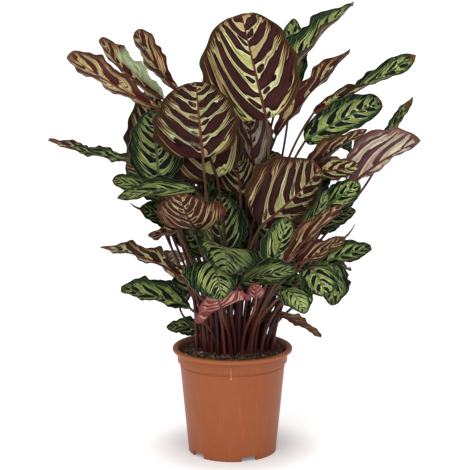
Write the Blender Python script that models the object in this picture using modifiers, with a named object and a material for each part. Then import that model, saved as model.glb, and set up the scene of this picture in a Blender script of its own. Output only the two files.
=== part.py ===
"""Potted peacock plant: a leafy plant with striped blades, standing in a plain nursery pot of soil.

The origin is the middle of the pot's base, on the surface that it stands on. +Z is up and -Y is
the front. Sizes are in millimetres and are brought to metres where a mesh is made.

Each leaf is one solid, a stalk that widens into a waved blade. A leaf is planned by the place of
its heart, where the stalk meets the blade, and of its apex. It is then slid, rolled or bowed by
the least amount that takes it clear of the leaves grown before it.
"""
import itertools
import math
from dataclasses import dataclass

import bpy
import numpy as np
from mathutils.bvhtree import BVHTree

MM = 0.001
NAME = "potted_peacock_plant"
TOUCH_GAP = 0.3

# Pot
POT_HEIGHT = 125.0
LIP_RADIUS = 70.0
LIP_HEIGHT = 6.0
COLLAR_FOOT = 108.0
COLLAR_STEP = 2.6
BODY_TOP_RADIUS = 61.6
BASE_RADIUS = 52.0
GROOVE_LEVEL = 105.0
GROOVE_DEPTH = 0.6
WALL = 1.4
FOOT_RING_HEIGHT = 7.0
FOOT_RING_WIDTH = 2.6
NOTCH_COUNT = 5
NOTCH_FIRST_ANGLE = 22.0
NOTCH_WIDTH = 18.0
NOTCH_REACH = (44.0, 58.0)
NOTCH_HEIGHT = 5.6
DRAIN_COUNT = 6
DRAIN_RADIUS = 5.0
DRAIN_CIRCLE = 30.0
NIB_SIZE = (1.4, 1.6, 9.0)
NIB_LEVEL = 103.0
POT_SIDES = 40

# Soil
SOIL_LEVEL = 116.0
SOIL_MOUND = 1.6
HOLE_DEPTH = 22.0

# Leaves
STALK_SIDES = 5
STALK_FOOT_RADIUS = 1.8
STALK_TOP_RADIUS = 1.35
MIDRIB_THICKNESS = 1.2
MARGIN_THICKNESS = 0.7
COLUMNS = np.linspace(-1.0, 1.0, 5)
ROW_LENGTH = 12.0
ROWS_LEAST = 5
ROWS_MOST = 10
STALK_STATIONS = np.array([0.0, 0.27, 0.52, 0.76, 0.96])
FOOT_SPACING = 7.6
FOOT_REACH = 0.36
FOOT_CIRCLE = 48.0
CLEARANCE = 0.6

# The leaves are grown clear of a plain cup in the pot's place: heights, and shares of the lip's radius
CUP_SIDES = 24
CUP_RINGS = ((60.0, 0.9), (POT_HEIGHT, 1.0), (POT_HEIGHT, 0.94), (SOIL_LEVEL - 6.0, 0.86))

# How far a leaf may be slid in depth, rolled about its midrib, and its stalk bowed
SLIDES = (0, 6, -6, 12, -12, 18, -18, 24, -24, 31, -31)
ROLLS = (0, 12, -12, 24, -24)
STALK_BOWS = (0, 9, -9, 18, -18, 28, -28)
SLIDE_WAY = np.array([0.0, 1.0, -0.16])

POT_COLOUR = (0.390, 0.125, 0.062)
SOIL_COLOUR = (0.030, 0.019, 0.012)
GREEN_LEAF_COLOUR = (0.110, 0.210, 0.050)
MAROON_LEAF_COLOUR = (0.150, 0.045, 0.040)


@dataclass(frozen=True)
class Leaf:
    """A leaf's plan: where its blade begins and ends, and how the blade between is shaped."""
    name: str
    heart: tuple
    apex: tuple
    width: float
    green: tuple
    bow: float = 4.0
    cup: float = 20.0
    wave: float = 2.5
    waves: float = 2.0
    twist: float = 0.0
    belly: float = 0.8
    blunt: float = 0.7
    tip: float = 1.6
    lean: float = 0.0


# Leaves from the showiest to the most hidden. "green" is the way that the green face looks,
# "bow" lifts the midrib's middle to that side, "cup" turns the margins to it, in degrees, and
# "lean" is the share by which one half of the blade is the wider
LEAVES = (
    Leaf("leaf_crown", (38, -45, 396), (10, -28, 511), 112, (0, 1, 0), -7, 28, 2.5, 1.5,
         belly=0.86, blunt=0.4, lean=0.13),
    Leaf("leaf_second", (-32, -75, 357), (-40, -52, 438), 97, (0, 1, 0), -7, 28, 1.5, 1.5,
         blunt=0.45, lean=0.12),
    Leaf("leaf_third", (31, -50, 276), (99, -30, 339), 84, (0, 1, 0), -5, 25, 2, 1.5,
         blunt=0.5, lean=0.3),
    Leaf("leaf_fourth", (-17, -50, 331), (-46, -22, 417), 92, (0, 1, 0.1), -5, 25, 2, 1.5,
         blunt=0.5, lean=0.1),
    Leaf("leaf_left_paddle", (-82, -10, 403), (-182, -30, 466), 37, (0.3, 0.7, 0.6), -3, 30, 3, 3,
         belly=1.7, blunt=0.42, tip=8),
    Leaf("leaf_left_curled", (-79, 15, 413), (-151, 20, 480), 35, (0.4, 0.8, 0.5), -10, 70, 4, 3,
         belly=1.0, blunt=0.6, tip=8),
    Leaf("leaf_left_upright", (-59, 20, 418), (-110, 30, 489), 32, (0.5, 0.8, 0.4), -7, 30, 2.5, 2.5,
         belly=1.8, blunt=0.6, tip=6),
    Leaf("leaf_top_right", (55, 40, 418), (139, 60, 518), 66, (-0.7, -0.25, 0.6), 7, 48, 4, 3,
         belly=0.8, blunt=0.6, tip=8),
    Leaf("leaf_top_behind", (68, 72, 419), (72, 75, 501), 38, (-0.3, -1, 0.2), 5, 25, 3),
    Leaf("leaf_right_long", (49, 10, 371), (133, 25, 465), 45, (-0.75, 0.5, 0.45), 3, 45, 5, 2.5,
         belly=0.78, tip=6),
    Leaf("leaf_right_twisted", (93, 20, 396), (207, 20, 460), 34, (-0.54, 0, 0.84), -2, 30, 2.5, 2.5,
         twist=150, belly=1.0, tip=7),
    Leaf("leaf_right_bright", (83, 10, 365), (170, 10, 410), 44, (-0.3, -0.85, 0.5), 4, 35, 2, 2,
         belly=1.1, blunt=0.4),
    Leaf("leaf_right_tipped", (177, 20, 362), (204, 15, 409), 14, (-0.5, -0.7, 0.5), 2, 40, 1, 1.5,
         belly=0.75, tip=6),
    Leaf("leaf_right_pale", (134, 0, 314), (213, -10, 368), 45, (-0.35, 0.85, 0.4), 6, 40, 3, 2,
         belly=0.9, blunt=0.6, tip=4, lean=0.6),
    Leaf("leaf_left_thin_a", (-113, 10, 349), (-207, -20, 370), 24, (0, 0.25, 1), -4, 20, 3, 3,
         twist=40, belly=0.85, tip=6),
    Leaf("leaf_left_thin_b", (-114, -14, 345), (-186, -34, 363), 26, (0, -0.3, 1), -1, 25, 3, 2.5),
    Leaf("leaf_left_dark_back", (-93, -5, 324), (-97, 15, 424), 60, (-0.35, 0.9, 0), -5, 25, 3,
         blunt=0.6),
    Leaf("leaf_left_green", (-82, -45, 328), (-89, -38, 405), 62, (0.1, -1, 0.2), 5, 20, 2, blunt=0.55),
    Leaf("leaf_left_flat", (-81, -35, 306), (-133, -58, 329), 34, (-0.2, -0.6, 0.8), 4, 25, 2,
         blunt=0.5),
    Leaf("leaf_left_yellow", (-41, -62, 319), (-126, -80, 313), 36, (0, -0.45, 0.9), 4, 35, 2.5),
    Leaf("leaf_left_shaded", (-66, -20, 273), (-104, -45, 295), 38, (0, -0.6, 0.8), 3, 20, 2),
    Leaf("leaf_front_fan", (-37, -82, 278), (-56, -122, 325), 82, (0.15, 0.75, 0.6), -8, 30, 4,
         blunt=0.6),
    Leaf("leaf_left_dark", (-52, -60, 280), (-92, -105, 277), 32, (0.1, 0.85, 0.5), -3, 20, 3),
    Leaf("leaf_low_left_waved", (-52, -55, 216), (-145, -80, 258), 38, (0.2, 0.6, 0.8), 8, 30, 4, 3,
         belly=0.95, tip=5),
    Leaf("leaf_front_wide", (-15, -75, 259), (-7, -138, 241), 86, (0.42, -0.45, 0.8), 9, 20, 3, 1.5,
         blunt=0.6),
    Leaf("leaf_front_drooping", (-22, -92, 246), (-11, -132, 211), 60, (0, -0.65, 0.75), 7, 15, 2,
         blunt=0.65, lean=0.2),
    Leaf("leaf_front_right", (9, -80, 218), (71, -98, 236), 34, (0, -0.65, 0.75), 4, 25, 2.5, tip=6),
    Leaf("leaf_front_pink", (-12, -92, 192), (-19, -125, 218), 64, (-0.4, 0.6, 0.7), -3, -25, 3,
         blunt=0.6),
    Leaf("leaf_front_bud", (26, -78, 201), (26, -104, 223), 18, (0, 0.8, 0.6), -2, 30, 1, 1),
    Leaf("leaf_low_left_folded", (-47, -66, 187), (-124, -76, 210), 43, (0.1, -0.4, 0.9), 2, 45, 3,
         2.5, belly=0.95, tip=8),
    Leaf("leaf_low_left_small", (-34, -2, 143), (-78, 2, 145), 26, (0, -0.6, 0.8), 2, 20, 1.5),
    Leaf("leaf_low_right_pale", (58, -62, 206), (80, -98, 187), 42, (0.3, -0.7, 0.6), 7, 15, 2),
    Leaf("leaf_right_round", (89, -55, 229), (104, -84, 204), 46, (0.1, -0.8, 0.6), 5, 15, 2,
         blunt=0.5),
    Leaf("leaf_right_hanging", (108, -20, 230), (113, -46, 184), 44, (0.5, -0.75, 0.4), 6, 15, 2,
         blunt=0.6),
    Leaf("leaf_right_low_long", (96, -42, 229), (156, -50, 252), 27, (-0.2, -0.7, 0.7), 3, 35, 3,
         2, belly=1.0, tip=6),
    Leaf("leaf_low_right_brown", (52, -10, 167), (102, -25, 143), 19, (0.3, 0.6, 0.6), 1, 30, 2, tip=5),
    Leaf("leaf_inner_back", (9, -25, 309), (4, -8, 356), 48, (-0.1, 1, 0), -3, 20, 2),
    Leaf("leaf_upper_pale", (25, 5, 337), (20, 15, 411), 48, (0.4, 1, 0), -4, 30, 4, 2.5),
    Leaf("leaf_right_edge_on", (81, 0, 333), (152, -15, 381), 34, (-0.5, 0.65, 0.6), 1, 45, 2.5),
    Leaf("leaf_right_small", (95, -15, 333), (142, -30, 342), 30, (0, 0.9, 0.4), -2, 20, 2, blunt=0.6),
    Leaf("leaf_right_mid", (110, -20, 296), (143, -32, 323), 31, (0.2, -0.9, 0.3), 3, 20, 2,
         blunt=0.55),
    Leaf("leaf_right_curved", (77, -30, 270), (107, -25, 313), 28, (0.7, -0.7, 0.2), 6, 30, 2),
    Leaf("leaf_right_level", (95, 5, 266), (141, -5, 286), 34, (0, -0.7, 0.7), 4, 25, 2),
    Leaf("leaf_right_brown", (73, -60, 237), (125, -72, 268), 36, (-0.2, 0.7, 0.6), -3, 35, 3),
    Leaf("leaf_right_striped", (59, -65, 238), (122, -60, 302), 32, (-0.5, 0.7, 0.4), 3, 30, 3),
    Leaf("leaf_inner_striped", (44, -45, 230), (61, -37, 284), 48, (0, -1, 0.2), 4, 20, 2),
    Leaf("leaf_left_dark_low", (-84, -22, 314), (-118, -18, 350), 42, (-0.2, 0.95, 0.2), -3, 20, 2,
         blunt=0.6),
    Leaf("leaf_inner_mid", (-8, -28, 245), (-14, -20, 308), 60, (0, -1, 0.2), 4, 20, 2),
    Leaf("leaf_back_tall", (9, 28, 363), (12, 58, 462), 62, (0, -1, 0.1), 5, 25, 2.5, blunt=0.55),
    Leaf("leaf_back_left_high", (-38, 46, 330), (-56, 78, 414), 80, (0.1, -1, 0.2), 6, 25, 2.5,
         blunt=0.5),
    Leaf("leaf_back_right_high", (12, 52, 313), (18, 88, 400), 68, (-0.1, -1, 0.25), 6, 25, 2.5,
         blunt=0.5),
    Leaf("leaf_back_left", (-70, 40, 280), (-102, 84, 334), 64, (0.4, -0.8, 0.4), 5, 25, 3,
         blunt=0.6),
    Leaf("leaf_back_right", (70, 44, 266), (104, 92, 322), 66, (-0.4, -0.8, 0.4), 5, 25, 3,
         blunt=0.6),
    Leaf("leaf_back_middle", (-8, 72, 262), (-20, 142, 292), 76, (0, 0.2, 1), 9, 20, 3, blunt=0.6),
    Leaf("leaf_back_left_low", (-48, 58, 223), (-79, 112, 192), 54, (-0.2, 0.4, 0.9), 8, 20, 3),
    Leaf("leaf_back_right_low", (52, 58, 218), (94, 108, 206), 58, (0.2, 0.3, 0.95), 8, 20, 3),
    Leaf("leaf_back_low", (6, 62, 190), (16, 122, 160), 54, (0, 0.5, 0.85), 9, 18, 3),
    Leaf("leaf_back_edge", (90, 20, 216), (140, 48, 204), 46, (0.2, 0.15, 0.95), 6, 20, 3),
)


def clear_scene():
    """Remove the scene's objects."""
    for obj in list(bpy.data.objects):
        bpy.data.objects.remove(obj, do_unlink=True)


def new_collection(name):
    """A collection of this name in the scene."""
    collection = bpy.data.collections.new(name)
    bpy.context.scene.collection.children.link(collection)
    return collection


def material(name, colour, roughness):
    """A Principled material with one colour."""
    mat = bpy.data.materials.new(name)
    mat.use_nodes = True
    shader = mat.node_tree.nodes["Principled BSDF"]
    shader.inputs["Base Color"].default_value = (*colour, 1.0)
    shader.inputs["Roughness"].default_value = roughness
    shader.inputs["Metallic"].default_value = 0.0
    return mat


def mesh_object(name, points, edges, faces, collection, mat=None):
    """An object from points in millimetres."""
    mesh = bpy.data.meshes.new(name)
    mesh.from_pydata([tuple(MM * float(c) for c in p) for p in points], edges, faces)
    mesh.update()
    obj = bpy.data.objects.new(name, mesh)
    collection.objects.link(obj)
    if mat:
        mesh.materials.append(mat)
    return obj


def turned(name, profile, collection, mat):
    """A body turned about Z, from an open profile of (radius, height) that starts and ends on the axis."""
    points = [(r, 0.0, z) for r, z in profile]
    obj = mesh_object(name, points, [(i, i + 1) for i in range(len(points) - 1)], [], collection, mat)
    screw = obj.modifiers.new("turn", "SCREW")
    screw.axis = "Z"
    screw.steps = POT_SIDES
    screw.render_steps = POT_SIDES
    screw.use_merge_vertices = True
    screw.merge_threshold = 0.0001
    return obj


def cut(obj, cutter, operation="DIFFERENCE"):
    """Cut the cutter out of an object, or join it, and keep the cutter as a wire guide."""
    boolean = obj.modifiers.new(f"{operation.lower()} {cutter.name}", "BOOLEAN")
    boolean.operation = operation
    boolean.object = cutter
    boolean.solver = "EXACT"
    cutter.hide_render = True
    cutter.display_type = "WIRE"


def prism(rings):
    """Points and outward faces of a closed prism through two or more rings of as many points."""
    count = len(rings[0])
    points = [p for ring in rings for p in ring]
    faces = [tuple(reversed(range(count)))]
    for k in range(len(rings) - 1):
        a, b = k * count, (k + 1) * count
        faces += [(a + i, a + (i + 1) % count, b + (i + 1) % count, b + i) for i in range(count)]
    faces.append(tuple(range(len(points) - count, len(points))))
    return points, faces


def prism_arrays(rings):
    """A prism through rings, with its points as an array."""
    points, faces = prism(list(rings))
    return np.array(points), faces


def joined_prisms(name, prisms, collection):
    """One cutter object that holds several prisms."""
    points, faces = [], []
    for prism_points, prism_faces in prisms:
        start = len(points)
        points += prism_points
        faces += [tuple(start + i for i in face) for face in prism_faces]
    return mesh_object(name, points, [], faces, collection)


def body_radius(level):
    """Outer radius of the pot's tapered body at a height."""
    share = (level - FOOT_RING_HEIGHT) / (COLLAR_FOOT - FOOT_RING_HEIGHT)
    return BASE_RADIUS + (BODY_TOP_RADIUS - BASE_RADIUS) * share


def pot_profile():
    """The pot's wall: floor, inside, rolled lip, collar, groove, body and foot ring."""
    floor_top = FOOT_RING_HEIGHT + WALL
    collar_radius = body_radius(COLLAR_FOOT) + COLLAR_STEP
    lip_foot = POT_HEIGHT - LIP_HEIGHT
    foot_inner = BASE_RADIUS - FOOT_RING_WIDTH
    return (
        (0.0, floor_top),
        (body_radius(floor_top) - WALL, floor_top),
        (body_radius(COLLAR_FOOT) - WALL, COLLAR_FOOT + 1.0),
        (collar_radius - WALL, COLLAR_FOOT + 2.4),
        (collar_radius - WALL + 0.4, POT_HEIGHT - 2.0),
        (collar_radius + 0.6, POT_HEIGHT - 0.4),
        (LIP_RADIUS - 2.6, POT_HEIGHT),
        (LIP_RADIUS - 0.6, POT_HEIGHT - 0.9),
        (LIP_RADIUS, POT_HEIGHT - 2.4),
        (LIP_RADIUS - 0.3, lip_foot + 0.8),
        (LIP_RADIUS - 1.2, lip_foot),
        (collar_radius + 0.4, lip_foot),
        (collar_radius, COLLAR_FOOT + 0.8),
        (collar_radius - 0.8, COLLAR_FOOT),
        (body_radius(COLLAR_FOOT), COLLAR_FOOT - 0.4),
        (body_radius(GROOVE_LEVEL + 0.8), GROOVE_LEVEL + 0.8),
        (body_radius(GROOVE_LEVEL) - GROOVE_DEPTH, GROOVE_LEVEL),
        (body_radius(GROOVE_LEVEL - 0.8), GROOVE_LEVEL - 0.8),
        (body_radius(FOOT_RING_HEIGHT), FOOT_RING_HEIGHT),
        (BASE_RADIUS - 0.4, 0.0),
        (foot_inner, 0.0),
        (foot_inner - 0.4, FOOT_RING_HEIGHT),
        (0.0, FOOT_RING_HEIGHT),
    )


def on_circle(radius, angle, level):
    """A point at an angle from the front, turning toward +X."""
    return np.array([radius * math.sin(angle), -radius * math.cos(angle), level])


def notch_prism(angle):
    """A radial block that cuts one notch through the foot ring."""
    out = on_circle(1.0, angle, 0.0)
    side = np.array([-out[1], out[0], 0.0])
    inner, outer = NOTCH_REACH
    corners = ((inner, -1), (outer, -1), (outer, 1), (inner, 1))
    ring = [out * reach + side * (turn * NOTCH_WIDTH / 2) for reach, turn in corners]
    return prism([[p + (0, 0, level) for p in ring] for level in (-2.0, NOTCH_HEIGHT)])


def round_prism(centre, radius, low, high, sides=12):
    """An upright round cutter."""
    turns = [2 * math.pi * i / sides for i in range(sides)]
    ring = [np.array([centre[0] + radius * math.cos(a), centre[1] + radius * math.sin(a), 0.0])
            for a in turns]
    return prism([[p + (0, 0, level) for p in ring] for level in (low, high)])


def build_pot(parts, cutters):
    """The nursery pot: a turned shell with notches in its foot, drain holes and a moulding nib."""
    pot = turned("pot", pot_profile(), parts, material("pot_plastic", POT_COLOUR, 0.5))
    notches = [notch_prism(math.radians(NOTCH_FIRST_ANGLE) + 2 * math.pi * i / NOTCH_COUNT)
               for i in range(NOTCH_COUNT)]
    drains = [round_prism(on_circle(DRAIN_CIRCLE, 2 * math.pi * i / DRAIN_COUNT, 0.0), DRAIN_RADIUS,
                          FOOT_RING_HEIGHT - 3.0, FOOT_RING_HEIGHT + WALL + 3.0)
              for i in range(DRAIN_COUNT)]
    cut(pot, joined_prisms("foot_notches", notches, cutters))
    cut(pot, joined_prisms("drain_holes", drains, cutters))
    wide, deep, tall = NIB_SIZE
    front = -body_radius(NIB_LEVEL) - 0.5
    ring = [np.array(p) for p in ((-wide / 2, front, 0), (wide / 2, front, 0),
                                  (wide / 2, front + deep, 0), (-wide / 2, front + deep, 0))]
    nib = joined_prisms("moulding_nib", [prism([[p + (0, 0, level) for p in ring]
                        for level in (NIB_LEVEL - tall, NIB_LEVEL)])], cutters)
    cut(pot, nib, "UNION")
    return pot


def build_soil(stems, parts, cutters):
    """The soil that fills the pot, with a plain upright hole for each stalk."""
    bottom = FOOT_RING_HEIGHT + WALL + TOUCH_GAP
    edge = body_radius(COLLAR_FOOT) - WALL - TOUCH_GAP
    profile = (
        (0.0, SOIL_LEVEL + SOIL_MOUND),
        (34.0, SOIL_LEVEL + SOIL_MOUND),
        (56.0, SOIL_LEVEL),
        (edge, SOIL_LEVEL - 1.0),
        (edge, COLLAR_FOOT),
        (body_radius(bottom) - WALL - TOUCH_GAP, bottom),
        (0.0, bottom),
    )
    soil = turned("soil", profile, parts, material("potting_soil", SOIL_COLOUR, 0.95))
    cut(soil, joined_prisms("stalk_holes", [stem.hole() for stem in stems], cutters))
    return soil


def unit(vectors):
    """Vectors brought to length 1."""
    return vectors / np.linalg.norm(vectors, axis=-1, keepdims=True)


def square_to(vectors, way):
    """The part of each vector that is square to a way, at length 1."""
    return unit(vectors - np.sum(vectors * way, axis=-1, keepdims=True) * way)


def turned_about(vector, axis, angle):
    """A vector turned about a unit axis."""
    return (vector * math.cos(angle) + np.cross(axis, vector) * math.sin(angle)
            + axis * np.dot(axis, vector) * (1 - math.cos(angle)))


def spread_feet(leaves):
    """Where the stalks stand in the soil: under their hearts, drawn in, and then pushed apart."""
    hearts = np.array([leaf.heart[:2] for leaf in leaves], float)
    feet = hearts * FOOT_REACH
    for _ in range(200):
        apart = feet[:, None] - feet[None]
        distance = np.linalg.norm(apart, axis=2) + np.eye(len(feet)) * 1e6
        push = np.clip(FOOT_SPACING - distance, 0, None) / np.maximum(distance, 0.01) / 2
        feet = feet + np.sum(apart * push[:, :, None], axis=1) * 0.9
        reach = np.linalg.norm(feet, axis=1, keepdims=True)
        feet = feet * np.minimum(1.0, FOOT_CIRCLE / reach)
    return feet


class Stem:
    """A leaf as it grows: its plan with a slide in depth, a roll and a bow of the stalk."""

    def __init__(self, leaf, foot, slide=0.0, roll=0.0, stalk_bow=(0.0, 0.0)):
        self.leaf = leaf
        self.foot = np.array([foot[0], foot[1], SOIL_LEVEL])
        self.heart = np.array(leaf.heart, float) + slide * SLIDE_WAY
        self.apex = np.array(leaf.apex, float) + slide * SLIDE_WAY
        chord = unit(self.apex - self.heart)
        face = square_to(np.array(leaf.green, float), chord)
        self.face = turned_about(face, chord, math.radians(roll))
        self.middle = (self.heart + self.apex) / 2 + 2 * leaf.bow * self.face
        self.stalk_bow = np.array([*stalk_bow, 0.0])

    def blade(self, stations, columns, swell=0.0):
        """Both faces of the blade as grids of points, and its frame at the heart.

        The midrib is a parabola from heart to apex. The blade turns about it on an arc (cup),
        and its margins rise and fall with a sine along the blade (wave).
        """
        leaf = self.leaf
        t = stations[:, None]
        midrib = (1 - t) ** 2 * self.heart + 2 * t * (1 - t) * self.middle + t ** 2 * self.apex
        along = unit((1 - t) * (self.middle - self.heart) + t * (self.apex - self.middle))
        normal = square_to(np.broadcast_to(self.face, along.shape), along)
        side = np.cross(along, normal)
        turn = math.radians(leaf.twist) * (t - 0.5)
        normal, side = (normal * np.cos(turn) + side * np.sin(turn),
                        side * np.cos(turn) - normal * np.sin(turn))
        fullness = np.sin(np.pi * stations ** leaf.belly).clip(0) ** leaf.blunt
        ends = (1 - stations) * 2 * STALK_TOP_RADIUS + stations * leaf.tip
        half = 0.5 * (ends + leaf.width * fullness)[:, None]
        radius = leaf.width / 2 / math.radians(leaf.cup)
        v = columns[None, :]
        reach = v * half * (1 + leaf.lean * np.sign(v))
        across = radius * np.sin(reach / radius)
        lift = radius * (1 - np.cos(reach / radius))
        phase = 2 * np.pi * (leaf.waves * t + 0.35 * (v > 0))
        lift = lift + leaf.wave * fullness[:, None] * np.abs(v) ** 1.5 * np.sin(phase)
        sheet = midrib[:, None] + across[..., None] * side[:, None] + lift[..., None] * normal[:, None]
        outward = unit(np.cross(np.gradient(sheet, axis=1), np.gradient(sheet, axis=0)))
        edge = np.abs(v)[..., None]
        thick = (MIDRIB_THICKNESS * (1 - edge) + MARGIN_THICKNESS * edge) / 2 + swell
        return sheet + thick * outward, sheet - thick * outward, (along[0], side[0])

    def stalk_path(self, stations):
        """Points along the stalk, a cubic curve that rises from the soil and leans into the blade."""
        start = self.foot + (0, 0, 2.0)
        reach = np.linalg.norm(self.heart - start)
        first = unit(self.middle - self.heart)
        arrival = unit(first + (0, 0, 0.9))
        lower = start + (0, 0, 0.42 * reach) + 0.5 * self.stalk_bow
        upper = self.heart - 0.33 * reach * arrival + self.stalk_bow
        u = stations[:, None]
        path = ((1 - u) ** 3 * start + 3 * u * (1 - u) ** 2 * lower
                + 3 * u ** 2 * (1 - u) * upper + u ** 3 * self.heart)
        ways = unit((1 - u) ** 2 * (lower - start) + 2 * u * (1 - u) * (upper - lower)
                    + u ** 2 * (self.heart - upper))
        return path, ways

    def stalk_rings(self, side, swell=0.0, sides=STALK_SIDES):
        """Rings round the stalk from the bottom of its hole to just under the blade."""
        path, ways = self.stalk_path(STALK_STATIONS)
        below = self.foot + (0, 0, 0.5 - HOLE_DEPTH)
        path = np.vstack([below, path])
        ways = np.vstack([(0, 0, 1), ways])
        ways[1] = (0, 0, 1)
        radii = np.interp(np.arange(len(path)), (1, len(path) - 1),
                          (STALK_FOOT_RADIUS, STALK_TOP_RADIUS)) + swell
        angles = np.pi * (0.8 - 0.4 * np.arange(sides))
        rings = []
        for point, way, radius in zip(path[::-1], ways[::-1], radii[::-1]):
            side = square_to(side, way)
            normal = np.cross(side, way)
            rings.append(point + radius * (np.cos(angles)[:, None] * side
                                           + np.sin(angles)[:, None] * normal))
        return rings[::-1]

    def stations(self):
        """Shares of the blade's length at its rows, closer at the two ends."""
        length = np.linalg.norm(self.apex - self.heart)
        rows = int(np.clip(round(length / ROW_LENGTH), ROWS_LEAST, ROWS_MOST))
        even = np.linspace(0, 1, rows + 1)
        return 0.45 * even + 0.55 * (1 - np.cos(np.pi * even)) / 2

    def blade_solid(self, swell=0.0):
        """Rings round the blade: its green face from side to side, then its underside back."""
        top, under, frame = self.blade(self.stations(), COLUMNS, swell)
        return np.concatenate([top, under[:, ::-1]], axis=1), frame

    def solid(self, swell=0.0):
        """Points and triangles of the whole leaf."""
        blade, (_, side) = self.blade_solid(swell)
        stalk = self.stalk_rings(side, swell)
        points = np.vstack(stalk + list(blade))
        return points, leaf_triangles(len(stalk), len(blade))

    def stalk_solid(self, swell=0.0):
        """Points and faces of the stalk alone, above the soil."""
        _, (_, side) = self.blade_solid()
        return prism_arrays(self.stalk_rings(side, swell)[1:])

    def hole(self):
        """The hole in the soil that the stalk stands in."""
        _, (_, side) = self.blade_solid()
        ring = self.stalk_rings(side)[0]
        centre = self.foot * (1, 1, 0)
        wide = 1 + TOUCH_GAP * 1.5 / STALK_FOOT_RADIUS
        ring = [centre + (p * (1, 1, 0) - centre) * wide for p in ring]
        levels = (SOIL_LEVEL - HOLE_DEPTH, SOIL_LEVEL + 8.0)
        return prism([[p + (0, 0, level) for p in ring] for level in levels])


def strip(low, high, rising):
    """Two outward triangles between a pair of ring points and the pair above it."""
    (a, b), (c, d) = low, high
    if rising:
        return [(a, b, d), (a, d, c)]
    return [(a, b, c), (b, d, c)]


def leaf_triangles(stalk_rows, blade_rows):
    """Triangles of a leaf: five-sided stalk rings, then ten-sided blade rings, with both ends closed.

    The blade's two faces are split alike, with the diagonals rising to the midrib.
    """
    n, m = STALK_SIDES, 2 * len(COLUMNS)
    faces = [(0, i + 1, i) for i in range(1, n - 1)]
    for k, i in itertools.product(range(stalk_rows - 1), range(n)):
        a, b = k * n + i, k * n + (i + 1) % n
        faces += strip((a, b), (a + n, b + n), False)
    top, base = (stalk_rows - 1) * n, stalk_rows * n
    for i in range(n):
        a, b = top + i, top + (i + 1) % n
        left, right, after = base + 2 * i, base + 2 * i + 1, base + (2 * i + 2) % m
        faces += [(a, right, left), (a, b, right), (b, after, right)]
    rising = (0, 1, 5, 6)
    for k, i in itertools.product(range(blade_rows - 1), range(m)):
        a, b = base + k * m + i, base + k * m + (i + 1) % m
        faces += strip((a, b), (a + m, b + m), i in rising)
    last = base + (blade_rows - 1) * m
    for i in range(m // 2 - 1):
        faces += strip((last + i, last + i + 1), (last + m - 1 - i, last + m - 2 - i), False)
    return faces


def boxes_meet(a, b):
    """Whether two pairs of corners overlap."""
    return bool(np.all(a[0] <= b[1]) and np.all(b[0] <= a[1]))


def standing(points, faces):
    """A solid that later leaves must miss: its box and its search tree."""
    box = (points.min(axis=0) - 1, points.max(axis=0) + 1)
    return box, BVHTree.FromPolygons(points.tolist(), faces)


def crossings(points, faces, grown):
    """How many triangles of a new solid cross the solids that are grown already."""
    box = (points.min(axis=0), points.max(axis=0))
    near = [tree for other, tree in grown if boxes_meet(box, other)]
    if not near:
        return 0
    tree = BVHTree.FromPolygons(points.tolist(), faces)
    return sum(len(tree.overlap(other)) for other in near)


def grow(leaf, foot, grown):
    """The leaf with the least slide, roll and bow that keeps it clear of what is grown."""
    placings = sorted(itertools.product(SLIDES, ROLLS), key=lambda p: abs(p[0]) / 6 + abs(p[1]) / 12)
    bows = sorted(itertools.product(STALK_BOWS, STALK_BOWS), key=lambda b: b[0] ** 2 + b[1] ** 2)
    best, fewest = None, math.inf
    for slide, roll in placings:
        stem = Stem(leaf, foot, slide, roll)
        blade, _ = stem.blade_solid(CLEARANCE)
        blade_hits = crossings(*prism_arrays(blade), grown)
        if blade_hits >= fewest:
            continue
        for bow in bows:
            stem = Stem(leaf, foot, slide, roll, bow)
            hits = blade_hits + crossings(*stem.stalk_solid(CLEARANCE), grown)
            if hits < fewest:
                best, fewest = stem, hits
            if hits == 0:
                return best, 0
    return best, fewest


def grow_all():
    """Every leaf of the plant, clear of those before it, with the crossings that are left."""
    lip = [on_circle(LIP_RADIUS, 2 * math.pi * i / CUP_SIDES, 0.0) for i in range(CUP_SIDES)]
    cup = [[p * share + (0, 0, level) for p in lip] for level, share in CUP_RINGS]
    grown = [standing(*prism_arrays(cup))]
    stems = []
    for leaf, foot in zip(LEAVES, spread_feet(LEAVES)):
        stem, left = grow(leaf, foot, grown)
        grown.append(standing(*stem.solid()))
        stems.append((stem, left))
    return stems


def build_leaf(stem, parts):
    """A leaf's solid, coloured by the face that it shows to the front."""
    colour = MAROON_LEAF_COLOUR if stem.face[1] > 0.3 else GREEN_LEAF_COLOUR
    points, faces = stem.solid()
    name = stem.leaf.name
    obj = mesh_object(name, points, [], faces, parts, material(name + "_blade", colour, 0.45))
    obj.data.shade_smooth()
    return obj


def main():
    """Build the pot, the leaves and the soil round their stalks."""
    clear_scene()
    parts = new_collection(NAME)
    cutters = new_collection("cutters")
    build_pot(parts, cutters)
    stems = grow_all()
    for stem, left in stems:
        if left:
            print(f"{stem.leaf.name} still crosses {left} triangles")
        build_leaf(stem, parts)
    build_soil([stem for stem, _ in stems], parts, cutters)


main()
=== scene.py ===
"""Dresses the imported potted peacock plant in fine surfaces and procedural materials.

Lengths are in millimetres until a mesh is made. The origin is the middle of the pot's base, +Z is
up and -Y is the front. Each leaf repeats the plan that its solid was grown from, and reads from
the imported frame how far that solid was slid, rolled and bowed clear of its neighbours.
"""
import logging
import math
from collections.abc import Callable
from dataclasses import KW_ONLY, dataclass, field, replace
from enum import Enum
from itertools import product

import bmesh
import bpy
import numpy as np
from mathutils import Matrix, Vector
from mathutils.bvhtree import BVHTree


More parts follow.
